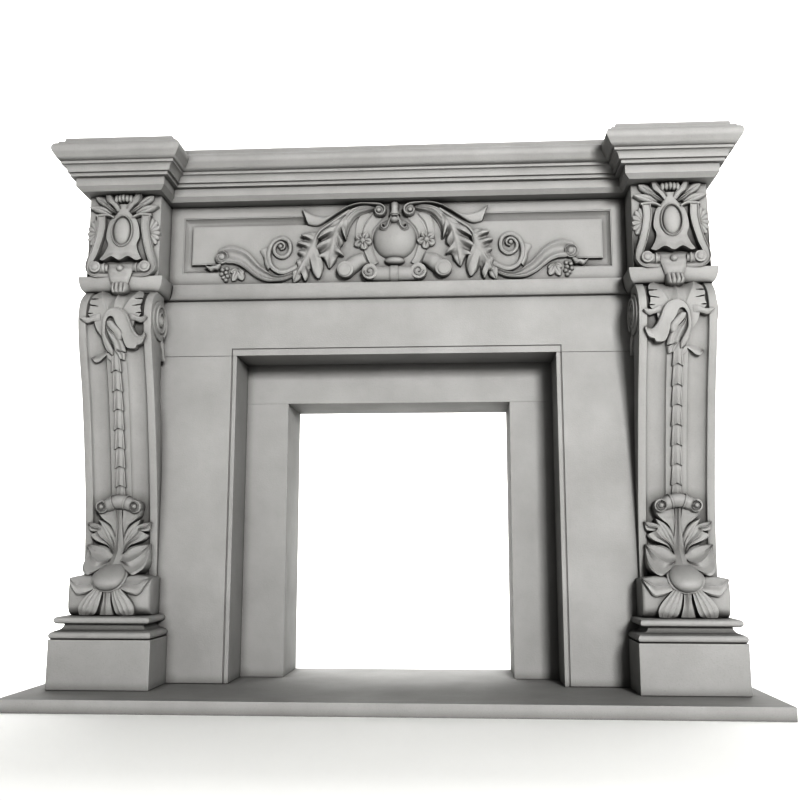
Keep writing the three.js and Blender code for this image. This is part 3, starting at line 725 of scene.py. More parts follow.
class FIREPLACE_OT_consoles(bpy.types.Operator):
    """Carves the two scrolled legs with their acanthus, husks, leaf cluster and foot"""

    bl_idname = "fireplace.consoles"
    bl_label = "Console Legs"

    def execute(self, context):
        for word, hand in both_hands():
            self.hand = hand
            bm = bmesh.new()
            self.body(bm)
            round_arrises(bm, context.scene.fireplace_stone.arris)
            self.volutes(bm)
            face = Carver(bm, self.on_face, self.under_face)
            self.head(face)
            self.husks(face)
            for side in (1, -1):
                self.foot_leaves(Carver(bm, self.on_foot, self.under_foot, side))
            self.foot_middle(Carver(bm, self.on_foot, self.under_foot))
            new_piece(context, bm, f"leg_{word}", f"console_{word}")
        return {"FINISHED"}

    def place(self, across, depth, up):
        """A place on this leg; across is positive towards the opening."""
        return self.hand * (PIER - across), depth, up

    def on_face(self, across, up, proud):
        """A place proud of the leg's curved face."""
        return self.place(across, console_front(up) - proud, up)

    def under_face(self, across, up):
        """A place below the bottom of the flutes."""
        return self.place(across, console_front(up) + FLUTE_DEPTH + 6.0, up)

    def on_foot(self, across, up, proud):
        """A place proud of the face where it swells out over the foot roll."""
        swell = 1.0 - smoothstep(up, 240.0, 335.0)
        front = console_front(up) * (1 - swell) + FOOT_FRONT * swell
        return self.place(across, front - proud, up)

    def under_foot(self, across, up):
        """A place inside the leg, behind the foot roll's face."""
        return self.place(across, FOOT_FLOOR, up)

    def body(self, bm):
        """Fluted face swept down the curve, the web behind it and the foot roll."""
        middle, half = (FLUTE_OUTER + FLUTE_INNER) / 2, (FLUTE_OUTER - FLUTE_INNER) / 2
        flute = arc((middle, -FLUTE_LIP), half, FLUTE_DEPTH - FLUTE_LIP, 0, -180, 14)
        outline = [(CONSOLE_HALF, 0.0), (BORDER_INNER, 0.0), *flute]
        outline += [(-across, depth) for across, depth in reversed(outline)]
        low, high = BASE_HIGH[2] + JOINT, BAND_BOTTOM - JOINT
        face_loops, web_loops = [], []
        for i in range(57):
            up = low + (high - low) * i / 56
            front, back = console_front(up), console_back(up)
            shallow = min(1.0, -front / FLUTE_FULL_FRONT)
            loop = [(across, front - depth * shallow) for across, depth in outline]
            loop += [(-CONSOLE_HALF, back), (CONSOLE_HALF, back)]
            face_loops.append([row(*self.place(across, depth, up)) for across, depth in loop])
            web_half = BACKING_HALF - JOINT
            web = ((web_half, back - 3.0), (-web_half, back - 3.0), (-web_half, WALL), (web_half, WALL))
            web_loops.append([row(*self.place(across, depth, up)) for across, depth in web])
        loft(bm, face_loops)
        loft(bm, web_loops)
        self.foot_roll(bm)

    def foot_roll(self, bm):
        """Rounded roll across the foot of the leg."""
        low, high = BASE_HIGH[2] + JOINT, FOOT_TOP
        roll = 26.0
        profile = [(FOOT_FLOOR - 1.0, low), (FOOT_FLOOR - 1.0, high)]
        profile += arc((FOOT_FRONT + roll, high - roll), roll, roll, 90, 180, 8)
        profile += arc((FOOT_FRONT + roll, low + roll), roll, roll, 180, 270, 8)
        loops = []
        for across, inset in ((-FOOT_HALF, 7.0), (-FOOT_HALF + 2, 3.0), (-FOOT_HALF + 7, 0.0),
                              (FOOT_HALF - 7, 0.0), (FOOT_HALF - 2, 3.0), (FOOT_HALF, 7.0)):
            loop = []
            for depth, up in profile:
                loop.append(row(*self.place(across, depth + inset * (depth < FOOT_FLOOR - 2), up)))
            loops.append(loop)
        loft(bm, loops)

    def volutes(self, bm):
        """Spiral volutes on both sides of the leg's head."""
        for side in (1, -1):
            carver = Carver(
                bm,
                lambda depth, up, proud: self.place(side * (CONSOLE_HALF + proud), depth, up),
                lambda depth, up: self.place(side * (CONSOLE_HALF - 16.0), depth, up),
            )
            carver.boss(VOLUTE_CENTRE, (VOLUTE_RADIUS, VOLUTE_RADIUS), 3.0, base=3.0, power=0.2, rings=20)
            carver.spiral(VOLUTE_CENTRE, VOLUTE_RADIUS - 6.0, 12.0, -60.0, 2.0, 11.0, 10.0)
            carver.boss(VOLUTE_CENTRE, (14.0, 14.0), 10.0, base=3.0)
            carver.leaf((-62.0, 872.0), (-30.0, 822.0), 20.0, 7.0, bow=0.2)

    def fan(self, carver):
        """Leaf spread below the paw: a ridge, a hollow on each side and two wings with slit edges."""
        edge = smooth_path((
            (56, 994), (65, 981), (67, 966), (68, 957), (66, 949), (66, 937), (69, 926), (64, 917), (53, 907),
            (50, 897), (45, 884), (34, 868), (16, 848),
        ))
        middle = smooth_path(((0, 992), (0, 967), (0, 936), (0, 926), (0, 907), (0, 880), (0, 848)))
        rows = 150
        slits = ((25, 0.7), (50, 0.66), (75, 0.82))

        def surface(s, c):
            end = edge(s)[0]
            place = middle(s)[0].lerp(end, abs(c))
            out, up = place
            ridge = min(max(2.0, 16.0 - 0.3 * (up - 941.0)), 16.0)
            crest = max(ridge + 4.0, 25.0 + 0.48 * (up - 942.0))
            relief = min(1.0, (crest - ridge) / 28.0)
            if out < ridge:
                rise = 0.5 + 7.0 * (1 - out / ridge)
            elif out < crest:
                t = (out - ridge) / (crest - ridge)
                rise = 0.5 + relief * (5.5 * t * t - 3.5 * math.sin(math.pi * t))
            else:
                t = min(1.0, (out - crest) / max(1.0, end.x - crest))
                rise = 0.5 + relief * (5.5 - 3.0 * math.sin(math.pi * min(1.0, 1.3 * t) / 2))
            for slit, start in slits:
                t = (abs(c) - start) / (1 - start)
                if t > 0:
                    rise -= 10.0 * min(1.0, 4 * t) * max(0.0, 1 - abs(s * rows - slit) / (0.5 + 1.7 * t))
            rise -= 6.0 * (1 - smoothstep(up, 915.0, 933.0)) * (1 - smoothstep(out, 10.0, 20.0))
            return math.copysign(out, c), up, rise

        carver.form(rows, 84, surface)

    def head(self, carver):
        """Acanthus at the head of the leg: spread leaf, overturned tongue and hooked tip."""
        self.fan(carver)
        for side in (1, -1):
            wing = Carver(carver.bm, carver.ground, carver.floor, side)
            wing.plate(
                ((36, 924), (48, 921), (60, 915), (69, 914), (77, 915), (85, 914)),
                ((36, 906), (48, 906), (60, 903), (69, 900), (79, 904), (86, 912)),
                (2, 5, 6, 7, 9, 11), half_section, along=36,
            )
        outer = smooth_path((
            (-8, 820), (-18, 829), (-25, 841), (-29, 858), (-31, 877), (-29, 897), (-26, 914), (-18, 929), (-6, 938),
            (8, 939), (22, 934), (32, 926), (39, 914), (45, 898), (52, 882), (57, 874), (62, 869), (66, 867), (71, 867),
            (76, 869), (80, 874),
        ))
        inner = smooth_path((
            (-5, 821), (-4, 831), (-8, 842), (-15, 856), (-21, 871), (-21, 888), (-20, 901), (-16, 911), (-10, 916),
            (-3, 915), (2, 909), (6, 899), (12, 889), (20, 879), (22, 866), (28, 846), (35, 837), (54, 836), (59, 843),
            (73, 848), (83, 867),
        ))

        def tongue(s, c):
            t = (c + 1) / 2
            place = outer(s)[0].lerp(inner(s)[0], t)
            rise = blend((3, 6, 8, 9, 10, 11, 11, 11, 10, 11, 14), s)
            rise += 1.8 * math.exp(-(((t - 0.1) / 0.06) ** 2)) - blend((-3, -2, 1, 2.4, 2.6, 2.6), s) * math.sin(math.pi * t)
            return place.x, place.y, rise - 3.0 * (1 - t) ** 24 - 1.6 * t**10

        carver.plate(
            ((-21, 901), (-20, 884), (-16, 868), (-8, 853), (-3, 840), (0, 829), (9, 813)),
            ((-17, 904), (-13, 891), (-2, 878), (13, 868), (24, 850), (27, 836), (26, 828), (11, 831), (25, 825), (24, 808)),
            (6, 8, 8, 7, 6, 5), twin_section, along=72, across=20,
        )
        carver.plate(
            ((-18, 904), (-14, 892), (-4, 880), (4, 870), (6, 861)), ((-4, 905), (8, 894), (18, 884), (24, 871), (20, 857)),
            (7, 9, 10, 9.5), half_section, along=40, across=16,
        )
        carver.form(132, 24, tongue)
        carver.plate(
            ((-63, 819), (-58, 827), (-48, 834), (-36, 838), (-24, 838)),
            ((-63, 817), (-55, 805), (-44, 806), (-32, 815), (-22, 822)),
            (-9, -9, -9, -8), sickle_section, along=30, across=16,
        )
        carver.leaf((-20, 826), (-12, 807), 11, 2)

    def husks(self, carver):
        """Chain of overlapping husks down the middle of the leg."""
        for i in range(HUSK_COUNT):
            low = HUSK_FIRST + HUSK_PITCH * i

            def husk(s, c):
                half = blend((10.0, 12.0, 13.5), s)
                up = low + (HUSK_PITCH + 4.0) * (1 - s) + HUSK_PEAK * (1 - abs(c))
                return half * c, up, blend((0.5, 5.0, 8.5), s) * husk_section(c)

            carver.form(12, 20, husk)

    def foot_leaves(self, carver):
        """Scroll end and leaves on one side of the foot."""
        carver.boss((43, 441), (16, 16), 4, base=20, power=0.2)
        carver.spiral((43, 441), 12.5, 9, 90, 1.3, 5, 29)
        carver.boss((43, 441), (7, 7), 8, base=22)
        carver.plate(
            ((58, 440), (53, 418), (38, 404), (24, 393), (10, 362)),
            ((6, 436), (5, 420), (4, 405), (4, 390), (5, 362)),
            (15, 13, 11, 11, 13), rimmed_section,
        )
        carver.leaf((12, 338), (55, 409), 26, 17, bow=0.15)
        carver.plate(
            ((11, 326), (14, 352), (24, 372), (37, 388), (58, 399), (82, 402)),
            ((16, 322), (28, 341), (47, 349), (66, 357), (75, 370), (56, 377), (77, 380), (81, 400)),
            (22, 24, 22, 20, 18, 16), leaf_section,
        )
        carver.plate(
            ((10, 322), (30, 339), (52, 345), (81, 346)),
            ((22, 290), (54, 271), (73, 280), (81, 296), (82, 320), (81, 344)),
            (26, 32, 30, 26, 22), leaf_section,
        )
        carver.plate(
            ((28, 256), (53, 271), (77, 269), (101, 264)),
            ((22, 240), (46, 229), (62, 224), (79, 224), (95, 246), (102, 262)),
            (14, 17, 15, 12), leaf_section,
        )
        carver.plate(
            ((30, 240), (47, 224), (62, 207), (70, 190), (68, 174)),
            ((10, 238), (14, 215), (19, 195), (26, 178), (36, 173)),
            (14, 19, 17, 12), veined_section,
        )

    def foot_middle(self, carver):
        """Scroll bar, stem, ball and middle petal."""
        bar = ((-44, 441), (-30, 445), (-14, 451), (0, 453), (14, 451), (30, 445), (44, 441))
        carver.band(bar, (30, 35, 38, 35, 30), (24, 28, 30, 28, 24), round_section, across=14)
        for side in (1, -1):
            carver.band(((14 * side, 451.2), (18 * side, 450)), (40, 39.5), (31, 30.5), round_section)
        stem = ((7, 434), (7, 397), (10, 365), (15, 336), (22, 312), (38, 294), (44, 272))
        carver.plate([(-across, up) for across, up in stem], stem, (22, 20, 20, 22, 27, 26, 16), ridged_section)
        carver.boss((0, 266), (45, 38), 8, base=10, power=0.25, rings=16)
        carver.boss((0, 266), (40, 34), 27, base=13, rings=22)
        petal = ((10, 240), (9, 215), (12, 195), (17, 174))
        carver.plate([(-across, up) for across, up in petal], petal, (14, 16, 15, 11), ridged_section)


class FIREPLACE_OT_capitals(bpy.types.Operator):
    """Carves the two capital blocks with cartouche, straps, shells and leaves"""

    bl_idname = "fireplace.capitals"
    bl_label = "Capitals"

    def execute(self, context):
        for word, hand in both_hands():
            centre = hand * PIER
            bm = bmesh.new()
            self.block(bm, hand)
            round_arrises(bm, context.scene.fireplace_stone.arris)
            for side in (1, -1):
                self.side_carving(self.carver(bm, centre, side))
            self.middle_carving(self.carver(bm, centre, 1))
            new_piece(context, bm, f"carved_capital_{word}", f"capital_{word}")
        return {"FINISHED"}

    def carver(self, bm, centre, side):
        """A carver on the capital's face, measured from its middle and the band's top."""
        return Carver(
            bm,
            lambda u, v, h: (centre + u, CAPITAL_FRONT - h, BAND_TOP + v),
            lambda u, v: (centre + u, CAPITAL_FRONT + 8.0, BAND_TOP + v),
            side,
        )

    def block(self, bm, hand):
        """The block and the quarter-round band under it."""
        centre, outer, inner = hand * PIER, hand * (PIER + CAPITAL_HALF), hand * (PIER - CAPITAL_HALF)
        low = (centre - CAPITAL_HALF, CAPITAL_FRONT, BAND_BOTTOM)
        high = (centre + CAPITAL_HALF, WALL, SOFFIT - JOINT)
        loft(bm, box_loops(low, high))
        core = hand * 30.0
        moulding(bm, band_profile(), (
            (outer, WALL - JOINT, hand, 0, outer - core, WALL - JOINT),
            (outer, CAPITAL_FRONT, hand, -1, outer - core, CAPITAL_FRONT + 30.0),
            (inner, CAPITAL_FRONT, -hand, -1, inner + core, CAPITAL_FRONT + 30.0),
            (inner, FRIEZE_FRONT - JOINT, -hand, -1, inner + core, FRIEZE_FRONT - JOINT),
        ))

    def side_carving(self, carver):
        """Strap, roll, shell, leaves and horn on one side of the cartouche."""
        strap = ((60, 166), (58, 138), (61, 114), (66, 91), (73, 65), (81, 42), (83, 22), (74, 8), (54, 3), (24, 4))
        carver.band(strap, (24, 23, 22, 21, 17, 12), (15, 15, 17, 21, 23, 17), rimmed_section, along=80, across=16)
        carver.band(((33, 22), (48, 22), (62, 22)), (25, 29, 32), (20, 24, 26), round_section)
        carver.band(((40, 22), (45, 22)), (32, 33), (26, 27), round_section)
        carver.boss((65, 23), (15, 15), 3, base=24, power=0.2)
        carver.boss((65, 23), (10, 10), 5, base=26)
        for i in range(7):
            angle = math.radians(-78 + 26 * i)
            carver.leaf(
                (68, 118), (70 + 27 * math.cos(angle), 118 + 40 * math.sin(angle)), 15, 10,
                belly=0.75, stalk=0.3, crease=-0.1, point=0.5,
            )
        carver.leaf((18, 172), (61, 202), 13, 17, crease=0.3)
        carver.leaf((30, 174), (78, 218), 24, 14, bow=0.16, belly=0.68, crease=0.35, point=0.45)
        carver.leaf((34, 168), (92, 188), 24, 17, bow=0.12, lift=0.2)
        carver.band(((24, 158), (42, 167), (74, 166)), (8, 10, 10), (17, 17, 14), round_section)
        carver.plate(
            ((17, 174), (30, 190), (45, 202), (48, 221)), ((7, 184), (13, 197), (23, 208), (33, 221)),
            (17, 19, 21, 22), rimmed_section,
        )

    def middle_carving(self, carver):
        """Shield, cabochon, shell cup, tongue and paw in the middle."""
        edge = smooth_path(
            ((20, 196), (15, 182), (21, 168), (35, 152), (42, 130), (44, 106), (38, 85), (44, 64), (55, 44)))

        def shield(s, c):
            place = edge(s)[0]
            hem = -5.0 * math.cos(2 * math.pi * c / 0.8) * smoothstep(s, 0.8, 1.0)
            rise = blend((12, 14, 15, 16, 16, 16, 18, 23, 30), s)
            return place.x * c, place.y + hem, rise * (1.0 - 0.3 * abs(c) ** 4)

        carver.form(64, 24, shield)
        ring = []
        for i in range(25):
            angle = math.radians(15 * i)
            ring.append((26.5 * math.cos(angle), 120 + 41.5 * math.sin(angle)))
        carver.band(ring, (7, 7), (23, 23), round_section, along=72, across=6)
        carver.boss((0, 120), (23, 38), 14, base=14, rings=18)
        for i in range(-2, 3):
            carver.boss((9.5 * i, 211 - abs(i)), (6.5, 11), 12 - 2 * abs(i), base=14)
        edge = ((42, 40), (37, 28), (32, 12), (28, -6), (22, -22))
        carver.plate([(-u, v) for u, v in edge], edge, (8, 16, 22, 27, 24), flat_section)
        carver.boss((0, 19), (10, 10), 13, base=17)
        half = smooth_path(((21, -18), (23, -28), (23, -38), (20, -46), (14, -52)))

        def paw(s, c):
            place = half(s)[0]
            toe = abs(math.sin(2 * math.pi * c)) ** 0.7
            rise = blend((22, 27, 30, 29, 19), s) - 9.0 * abs(c) ** 4 + 5.0 * toe * math.sin(math.pi * (0.15 + 0.85 * s))
            return place.x * c + 2.0 * math.sin(math.pi * s), place.y + 2.0 * toe * (1 - s), rise

        carver.form(22, 48, paw)


def band_profile():
    """Quarter round, widest at its top edge."""
    height = BAND_TOP - BAND_BOTTOM
    return [(0.0, BAND_BOTTOM)] + arc((0.0, BAND_TOP), BAND_OVERHANG, height, -86, 0, 14)


class FIREPLACE_OT_frieze(bpy.types.Operator):
    """Carves the frieze panel with orb, acanthus and vine scrolls, over its bed moulding"""

    bl_idname = "fireplace.frieze"
    bl_label = "Frieze"

    def execute(self, context):
        bm = bmesh.new()
        moulding(bm, band_profile(), (
            (-FRIEZE_HIGH[0], FRIEZE_FRONT, 1, -1, -FRIEZE_HIGH[0], WALL),
            (FRIEZE_HIGH[0], FRIEZE_FRONT, -1, -1, FRIEZE_HIGH[0], WALL),
        ))
        round_arrises(bm, context.scene.fireplace_stone.arris)
        new_piece(context, bm, "bed_moulding", "frieze_bed_moulding")
        bm = self.board(context)
        for side in (1, -1):
            carver = Carver(bm, self.on_frieze, self.under_frieze, side)
            self.cartouche_side(carver)
            self.acanthus(carver)
            self.vine(carver)
        self.cartouche_middle(Carver(bm, self.on_frieze, self.under_frieze))
        new_piece(context, bm, "carved_frieze", "frieze_panel")
        return {"FINISHED"}

    def on_frieze(self, u, v, h):
        """A place proud of the frieze's face, measured up from the band's top."""
        return u, FRIEZE_FRONT - h, BAND_TOP + v

    def under_frieze(self, u, v):
        """A place behind the sunk panel's face."""
        return u, FRIEZE_FRONT + CARVING_SINK, BAND_TOP + v

    def board(self, context):
        """The board, with a coved groove cut round the field at each end of the carving."""
        half = FRIEZE_HIGH[0]
        slab = bmesh.new()
        loft(slab, box_loops((-half, FRIEZE_FRONT, BAND_TOP + JOINT), (half, WALL, SOFFIT - JOINT)))
        round_arrises(slab, context.scene.fireplace_stone.arris)
        grooves = bmesh.new()
        for side in (1, -1):
            self.groove(grooves, side)
        bmesh.ops.recalc_face_normals(grooves, faces=grooves.faces[:])
        blank, cutter = self.temporary(context, slab, "frieze_blank"), self.temporary(context, grooves, "frieze_grooves")
        cut = blank.modifiers.new("grooves", "BOOLEAN")
        cut.operation = "DIFFERENCE"
        cut.object = cutter
        bm = bmesh.new()
        bm.from_object(blank, context.evaluated_depsgraph_get())
        for scrap in (blank, cutter):
            mesh = scrap.data
            bpy.data.objects.remove(scrap)
            bpy.data.meshes.remove(mesh)
        return bm

    def temporary(self, context, bm, name):
        """A scrap object that is used for a cut and then removed."""
        mesh = bpy.data.meshes.new(name)
        bm.to_mesh(mesh)
        bm.free()
        scrap = bpy.data.objects.new(name, mesh)
        context.scene.collection.objects.link(scrap)
        return scrap

    def groove(self, bm, side):
        """Cutter for one groove: fillet, cove and the step up to the field, run round three sides."""
        profile = [(0.0, -PANEL_CLEAR), (0.0, PANEL_FILLET), (3.0, PANEL_FILLET)]
        steep = math.radians(COVE_STEEP)
        for i in range(11):
            turn = steep * (1 - i / 10)
            inset = 3.0 + PANEL_COVE * (1 - math.sin(turn) / math.sin(steep))
            sink = PANEL_SINK * (math.cos(turn) - math.cos(steep)) / (1 - math.cos(steep))
            profile.append((inset, PANEL_FILLET + 0.5 + sink))
        edge = PANEL_COVE + 5.0
        profile += [(edge, PANEL_FILLET + 0.5 + PANEL_SINK), (edge + 0.3, PANEL_FILLET), (edge + 3.2, PANEL_FILLET)]
        profile += [(edge + 3.4, -PANEL_CLEAR)]
        stations = (
            (PANEL_LOW_END, PANEL_BOTTOM, 0, 1), (PANEL_HALF, PANEL_BOTTOM, -1, 1),
            (PANEL_HALF, PANEL_TOP, -1, -1), (PANEL_HIGH_END, PANEL_TOP, 0, -1),
        )
        loops = []
        for across, up, in_x, in_z in stations:
            loops.append([
                row(side * (across + inset * in_x), FRIEZE_FRONT + sink, up + inset * in_z) for inset, sink in profile])
        loft(bm, loops)

    def cartouche_middle(self, carver):
        """Orb, pellet, scroll bar, knob and the neck of the drapery."""
        carver.boss((0, 120), (60, 59), 40, base=-8, rings=28)
        carver.boss((0, 58), (27, 12), 18, base=4)
        carver.band(((-64, 24), (-40, 22), (0, 22), (40, 22), (64, 24)), (40, 41, 42, 41, 40), (28, 30, 30, 28), round_section, across=16)
        carver.band(((-10, 22), (10, 22)), (45, 45), (34, 34), round_section, across=16)
        knob = ((6, 222), (11, 217), (12, 209), (11, 200), (12, 192), (15, 184))
        carver.plate([(-u, v) for u, v in knob], knob, (16, 22, 24, 24, 25), round_section, along=30, across=16)
        carver.boss((0, 182), (12, 5), 14, base=10)
        carver.boss((0, 166), (12, 9), 18, base=20)

    def cartouche_side(self, carver):
        """Volute, strapwork, flower and scroll ends beside the orb."""
        carver.band(((45, 186), (70, 151), (76, 114), (64, 71), (52, 50)), (28, 25, 25, 23, 22), (3, 3, 3, 4, 6), rimmed_section)
        carver.band(((74, 196), (91, 169), (97, 138), (98, 100)), (26, 22, 18, 14), (3, 3, 2, 2), rimmed_section)
        drape = ((7, 176), (13, 161), (18, 147), (26, 140), (34, 145), (33, 153), (27, 152))
        carver.band(drape, (12, 15, 15, 12, 9, 6), (26, 32, 35, 33, 30), ridged_round_section, along=60, across=14)
        for i in range(5):
            angle = math.radians(115 + 72 * i)
            tip = (85 + 25 * math.cos(angle), 115 + 25 * math.sin(angle))
            carver.leaf((85, 115), tip, 22, 15, belly=0.66, stalk=0.3, crease=0.4, point=0.42)
        carver.boss((85, 115), (8, 8), 10, base=9)
        carver.band(((80, 66), (104, 54), (129, 33)), (34, 44, 43), (16, 25, 28), round_section, along=22, across=18)
        carver.boss((129, 33), (22, 22), 4, base=24, power=0.2, rings=16)
        carver.boss((131, 30), (16, 16), 2, base=29, power=0.3)
        carver.boss((64, 25), (21, 21), 4, base=26, power=0.2, rings=16)
        carver.spiral((64, 25), 15, 4, 0, -1.25, 8, 34)
        carver.boss((40, 198), (15, 15), 3, base=11, power=0.3, rings=16)
        carver.boss((42, 198), (8, 8), 8, base=12)
        rim = (
            (46, 203), (51, 196), (48, 188), (39, 184), (30, 187), (26, 196), (28, 206), (37, 213), (50, 216), (66, 217),
            (89, 218), (110, 215), (127, 209),
        )
        carver.band(rim, (4, 8, 9, 9, 8, 7), (19, 22, 23, 21, 20, 18), round_section, along=96, across=10)

    def acanthus(self, carver):
        """Fin, hood and the two acanthus leaves that fall from the arch."""
        carver.plate(
            ((127, 212), (145, 200), (163, 189), (183, 182), (207, 185), (227, 192), (248, 206)),
            ((127, 206), (151, 192), (172, 178), (188, 168), (202, 161), (216, 160), (232, 164)),
            (18, 16, 15, 13, 13, 15), hood_section, along=42, across=16,
        )
        carver.plate(
            ((50, 206), (74, 210), (95, 208), (113, 202), (127, 193), (145, 180)),
            ((50, 202), (74, 194), (97, 184), (110, 170), (120, 152), (126, 130)),
            (14, 19, 22, 22, 19, 12), veiled_section, along=48, across=22,
        )
        carver.acanthus(
            ((130, 181), (149, 152), (160, 122), (167, 92), (171, 62), (173, 42)),
            ((118, 178), (127, 146), (129, 118), (137, 128), (138, 108), (147, 93), (136, 74), (151, 75), (158, 57), (172, 40)),
            ((142, 184), (168, 164), (188, 150), (205, 122), (197, 117), (210, 96), (199, 85), (208, 68), (191, 68), (176, 40)),
            (22, 25, 25, 24, 22, 19, 13), sweep=0.14, depth=0.45,
        )
        carver.band(
            ((120, 197), (145, 179), (168, 163), (186, 151), (199, 141), (209, 126), (217, 110), (227, 92), (240, 70), (255, 45), (266, 8)),
            (12, 12, 11, 10, 8, 4), (23, 23, 21, 20, 18, 13), round_section, across=8,
        )
        carver.acanthus(
            ((203, 134), (212, 113), (223, 93), (235, 70), (248, 48), (259, 26), (268, 4)),
            ((199, 133), (205, 108), (206, 92), (197, 73), (190, 52), (192, 32), (201, 12), (216, 25), (226, 42), (229, 21),
             (238, 6), (245, 27), (251, 12), (267, 1)),
            ((207, 137), (224, 142), (250, 134), (242, 122), (260, 111), (248, 101), (258, 86), (251, 74), (262, 60),
             (260, 44), (273, 30), (270, 2)),
            (17, 20, 21, 20, 19, 17, 13), sweep=0.1, depth=0.45, along=120,
        )

    def vine(self, carver):
        """S-shaped stem with its spiral branch, grapes and vine leaf."""
        carver.plate(
            ((262, 38), (301, 24), (328, 27), (345, 40), (360, 52), (372, 65), (390, 85), (407, 97), (425, 104), (442, 107),
             (458, 104), (470, 98), (479, 87)),
            ((262, 24), (292, 9), (318, 6), (345, 8), (371, 20), (394, 38), (412, 51), (430, 58), (442, 59), (450, 60),
             (457, 63), (462, 68)),
            (12, 15, 17, 18, 18, 17, 16), fluted_section, along=110, across=16,
        )
        carver.boss((464, 76), (18, 18), 3, base=12, power=0.3, rings=18)
        carver.spiral((464, 76), 16.5, 12, 215, -1.45, 6, 18)
        carver.boss((463, 76), (9.5, 9.5), 9, base=12, rings=14)
        branch = (
            (260, 48), (293, 33), (316, 37), (331, 52), (338, 75), (336, 97), (326, 117), (306, 127), (287, 120), (280, 102),
            (284, 85), (297, 75), (312, 77), (322, 88), (323, 102), (315, 113), (304, 116), (296, 108), (298, 99), (306, 96),
        )
        carver.band(branch, (16, 14, 13, 12, 11, 9, 6), (11, 13, 12, 11, 10, 10), ridged_round_section, along=150)
        carver.boss((307, 105), (7, 7), 9, base=2)
        carver.plate(((341, 101), (339, 72), (329, 50)), ((363, 95), (352, 73), (349, 56), (340, 38)), (7, 9, 9), half_section)
        for u, v in ((451, 46), (463, 43), (453, 35), (465, 31), (449, 25), (459, 21), (453, 14)):
            carver.boss((u, v), (6.6, 6.6), 10, base=-1, rings=10)
        for tip, width in (((407, 12), 22), ((434, 10), 20), ((440, 35), 18), ((403, 32), 14)):
            carver.leaf((421, 43), tip, width, 11, belly=0.6, crease=0.3, point=0.5)
        carver.plate(
            ((470, 62), (481, 55), (489, 54), (498, 52), (509, 56)), ((466, 55), (475, 44), (485, 44), (496, 40), (508, 53)),
            (9, 11, 9), half_section, along=40,
        )


class FIREPLACE_OT_cornice(bpy.types.Operator):
    """Runs the cornice shelf, breaking forward over the capitals"""

    bl_idname = "fireplace.cornice"
    bl_label = "Cornice"

    def execute(self, context):
        steps = [(0.0, 0.0), (10.0, 0.0), (21.5, 11.5), (21.5, 32.5), (32.5, 33.5), (32.5, 42.0), (38.5, 43.0)]
        hollow = arc((51.0, 44.0), 12.2, 17.0, 180, 92, 10)
        quirks = [(51.2, 61.0), (51.2, 68.0), (54.0, 69.0), (56.2, 69.6)]
        nose = arc((59.5, 97.0), 12.0, 15.5, -52, 84, 14)
        cap = [(59.0, 113.2), (58.0, 118.0), (47.0, 120.0), (45.0, CORNICE_TOP - SOFFIT)]
        profile = [(d, SOFFIT + h) for d, h in steps + hollow + quirks + [(62.0, 77.0)] + nose + cap]
        outer, inner = PIER + CAPITAL_HALF, PIER - CAPITAL_HALF
        cap_front = CAPITAL_FRONT - CORNICE_AHEAD
        middle_front = FRIEZE_FRONT - CORNICE_AHEAD
        bm = bmesh.new()
        moulding(bm, profile, (
            (-outer, WALL, -1, 0, -outer, WALL),
            (-outer, cap_front, -1, -1, -outer, WALL),
            (-inner, cap_front, 1, -1, -inner, WALL),
            (-inner, middle_front, 1, -1, -inner, WALL),
            (inner, middle_front, -1, -1, inner, WALL),
            (inner, cap_front, -1, -1, inner, WALL),
            (outer, cap_front, 1, -1, outer, WALL),
            (outer, WALL, 1, 0, outer, WALL),
        ))
        bmesh.ops.remove_doubles(bm, verts=bm.verts[:], dist=0.02 * MM)
        bmesh.ops.recalc_face_normals(bm, faces=bm.faces[:])
        new_piece(context, bm, "cornice_shelf", "cornice")
        return {"FINISHED"}


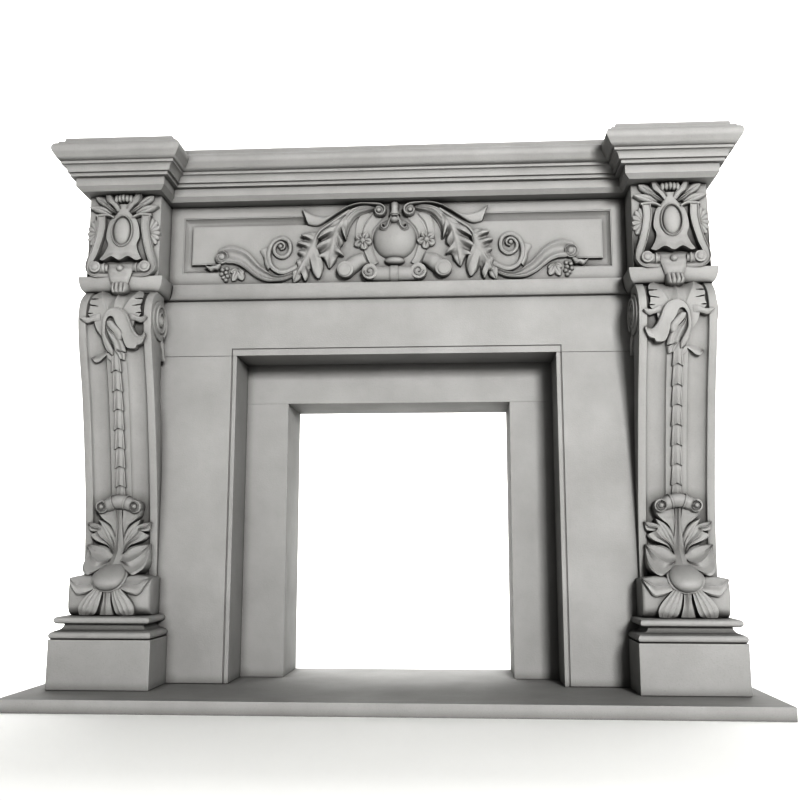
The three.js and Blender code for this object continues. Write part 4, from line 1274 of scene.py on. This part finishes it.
class FIREPLACE_OT_stage(bpy.types.Operator):
    """Sets the floor, the soft studio light and the camera"""

    bl_idname = "fireplace.stage"
    bl_label = "Stage"

    def execute(self, context):
        settings = context.scene.fireplace_stage
        floor = self.backdrop(context)
        paint = bpy.data.materials.new("pale_floor")
        paint.use_nodes = True
        shader = paint.node_tree.nodes["Principled BSDF"]
        shader.inputs["Base Color"].default_value = (*settings.floor, 1.0)
        shader.inputs["Roughness"].default_value = 0.9
        floor.data.materials.append(paint)
        world = bpy.data.worlds.new("studio")
        world.use_nodes = True
        world.node_tree.nodes["Background"].inputs["Color"].default_value = (1.0, 1.0, 1.0, 1.0)
        world.node_tree.nodes["Background"].inputs["Strength"].default_value = settings.ambient
        context.scene.world = world
        context.scene.view_settings.view_transform = "Standard"
        context.scene.view_settings.look = "Medium High Contrast"
        context.scene.view_settings.gamma = settings.gamma
        middle = (0.0, 0.0, 0.75)
        self.area_light(context, "key_light", (1.8, -5.8, 2.0), middle, 1.2, settings.key_power)
        self.area_light(context, "fill_light", (-2.2, -3.0, 0.9), middle, 2.4, settings.fill_power)
        self.area_light(context, "backdrop_light", (0.0, 2.6, 5.2), (0.0, 7.0, 1.0), 5.0, settings.back_power)
        camera = bpy.data.objects.new("camera", bpy.data.cameras.new("camera"))
        camera.data.sensor_width = 36.0
        camera.data.lens = settings.lens
        camera.location = row(162.2, -2413.7, 324.7)
        camera.rotation_euler = (math.radians(99.241), math.radians(-0.025), math.radians(3.522))
        context.scene.collection.objects.link(camera)
        context.scene.camera = camera
        return {"FINISHED"}

    def backdrop(self, context):
        """A pale round floor that sweeps up into a backdrop on every side."""
        reach, sweep, top = 9.0, 2.5, 9.0
        bm = bmesh.new()
        line = [(0.0, 0.0), (1.5, 0.0), (4.0, 0.0)]
        line += arc((reach - sweep, sweep), sweep, sweep, -90, 0, 24)
        line += [(reach, top)]
        verts = [bm.verts.new((x, 0.0, z)) for x, z in line]
        edges = [bm.edges.new(pair) for pair in zip(verts, verts[1:])]
        bmesh.ops.spin(
            bm, geom=verts + edges, cent=(0.0, 0.0, 0.0), axis=(0.0, 0.0, 1.0), dvec=(0.0, 0.0, 0.0),
            angle=2 * math.pi, steps=96, use_merge=True)
        bmesh.ops.remove_doubles(bm, verts=bm.verts[:], dist=0.01 * MM)
        bmesh.ops.recalc_face_normals(bm, faces=bm.faces[:])
        mesh = bpy.data.meshes.new("floor")
        bm.to_mesh(mesh)
        bm.free()
        mesh.shade_smooth()
        floor = bpy.data.objects.new("floor", mesh)
        context.scene.collection.objects.link(floor)
        return floor

    def area_light(self, context, name, place, target, size, power):
        """A soft square light aimed at a point."""
        light = bpy.data.lights.new(name, "AREA")
        light.size = size
        light.energy = power
        lamp = bpy.data.objects.new(name, light)
        lamp.location = place
        aim = Vector(target) - Vector(place)
        lamp.rotation_euler = aim.to_track_quat("-Z", "Y").to_euler()
        context.scene.collection.objects.link(lamp)


class FIREPLACE_PT_panel(bpy.types.Panel):
    """Lists the steps that build the fireplace"""

    bl_idname = "FIREPLACE_PT_panel"
    bl_label = "Carved Stone Fireplace"
    bl_space_type = "VIEW_3D"
    bl_region_type = "UI"
    bl_category = "Fireplace"

    def draw(self, context):
        for operator in OPERATORS:
            self.layout.operator(operator.bl_idname)
        for group in (context.scene.fireplace_stone, context.scene.fireplace_stage):
            for name in group.__annotations__:
                self.layout.prop(group, name)


OPERATORS = (
    FIREPLACE_OT_blocks, FIREPLACE_OT_bases, FIREPLACE_OT_consoles, FIREPLACE_OT_capitals,
    FIREPLACE_OT_frieze, FIREPLACE_OT_cornice, FIREPLACE_OT_stage,
)
CLASSES = (FireplaceStone, FireplaceStage, *OPERATORS, FIREPLACE_PT_panel)


def register():
    """Registers the classes and the scene's settings."""
    for cls in CLASSES:
        bpy.utils.register_class(cls)
    bpy.types.Scene.fireplace_stone = bpy.props.PointerProperty(type=FireplaceStone)
    bpy.types.Scene.fireplace_stage = bpy.props.PointerProperty(type=FireplaceStage)


def unregister():
    """Removes the settings and the classes."""
    del bpy.types.Scene.fireplace_stage
    del bpy.types.Scene.fireplace_stone
    for cls in reversed(CLASSES):
        bpy.utils.unregister_class(cls)


def main():
    """Builds every piece and the stage."""
    register()
    bpy.ops.fireplace.blocks()
    bpy.ops.fireplace.bases()
    bpy.ops.fireplace.consoles()
    bpy.ops.fireplace.capitals()
    bpy.ops.fireplace.frieze()
    bpy.ops.fireplace.cornice()
    bpy.ops.fireplace.stage()


if __name__ == "__main__":
    main()
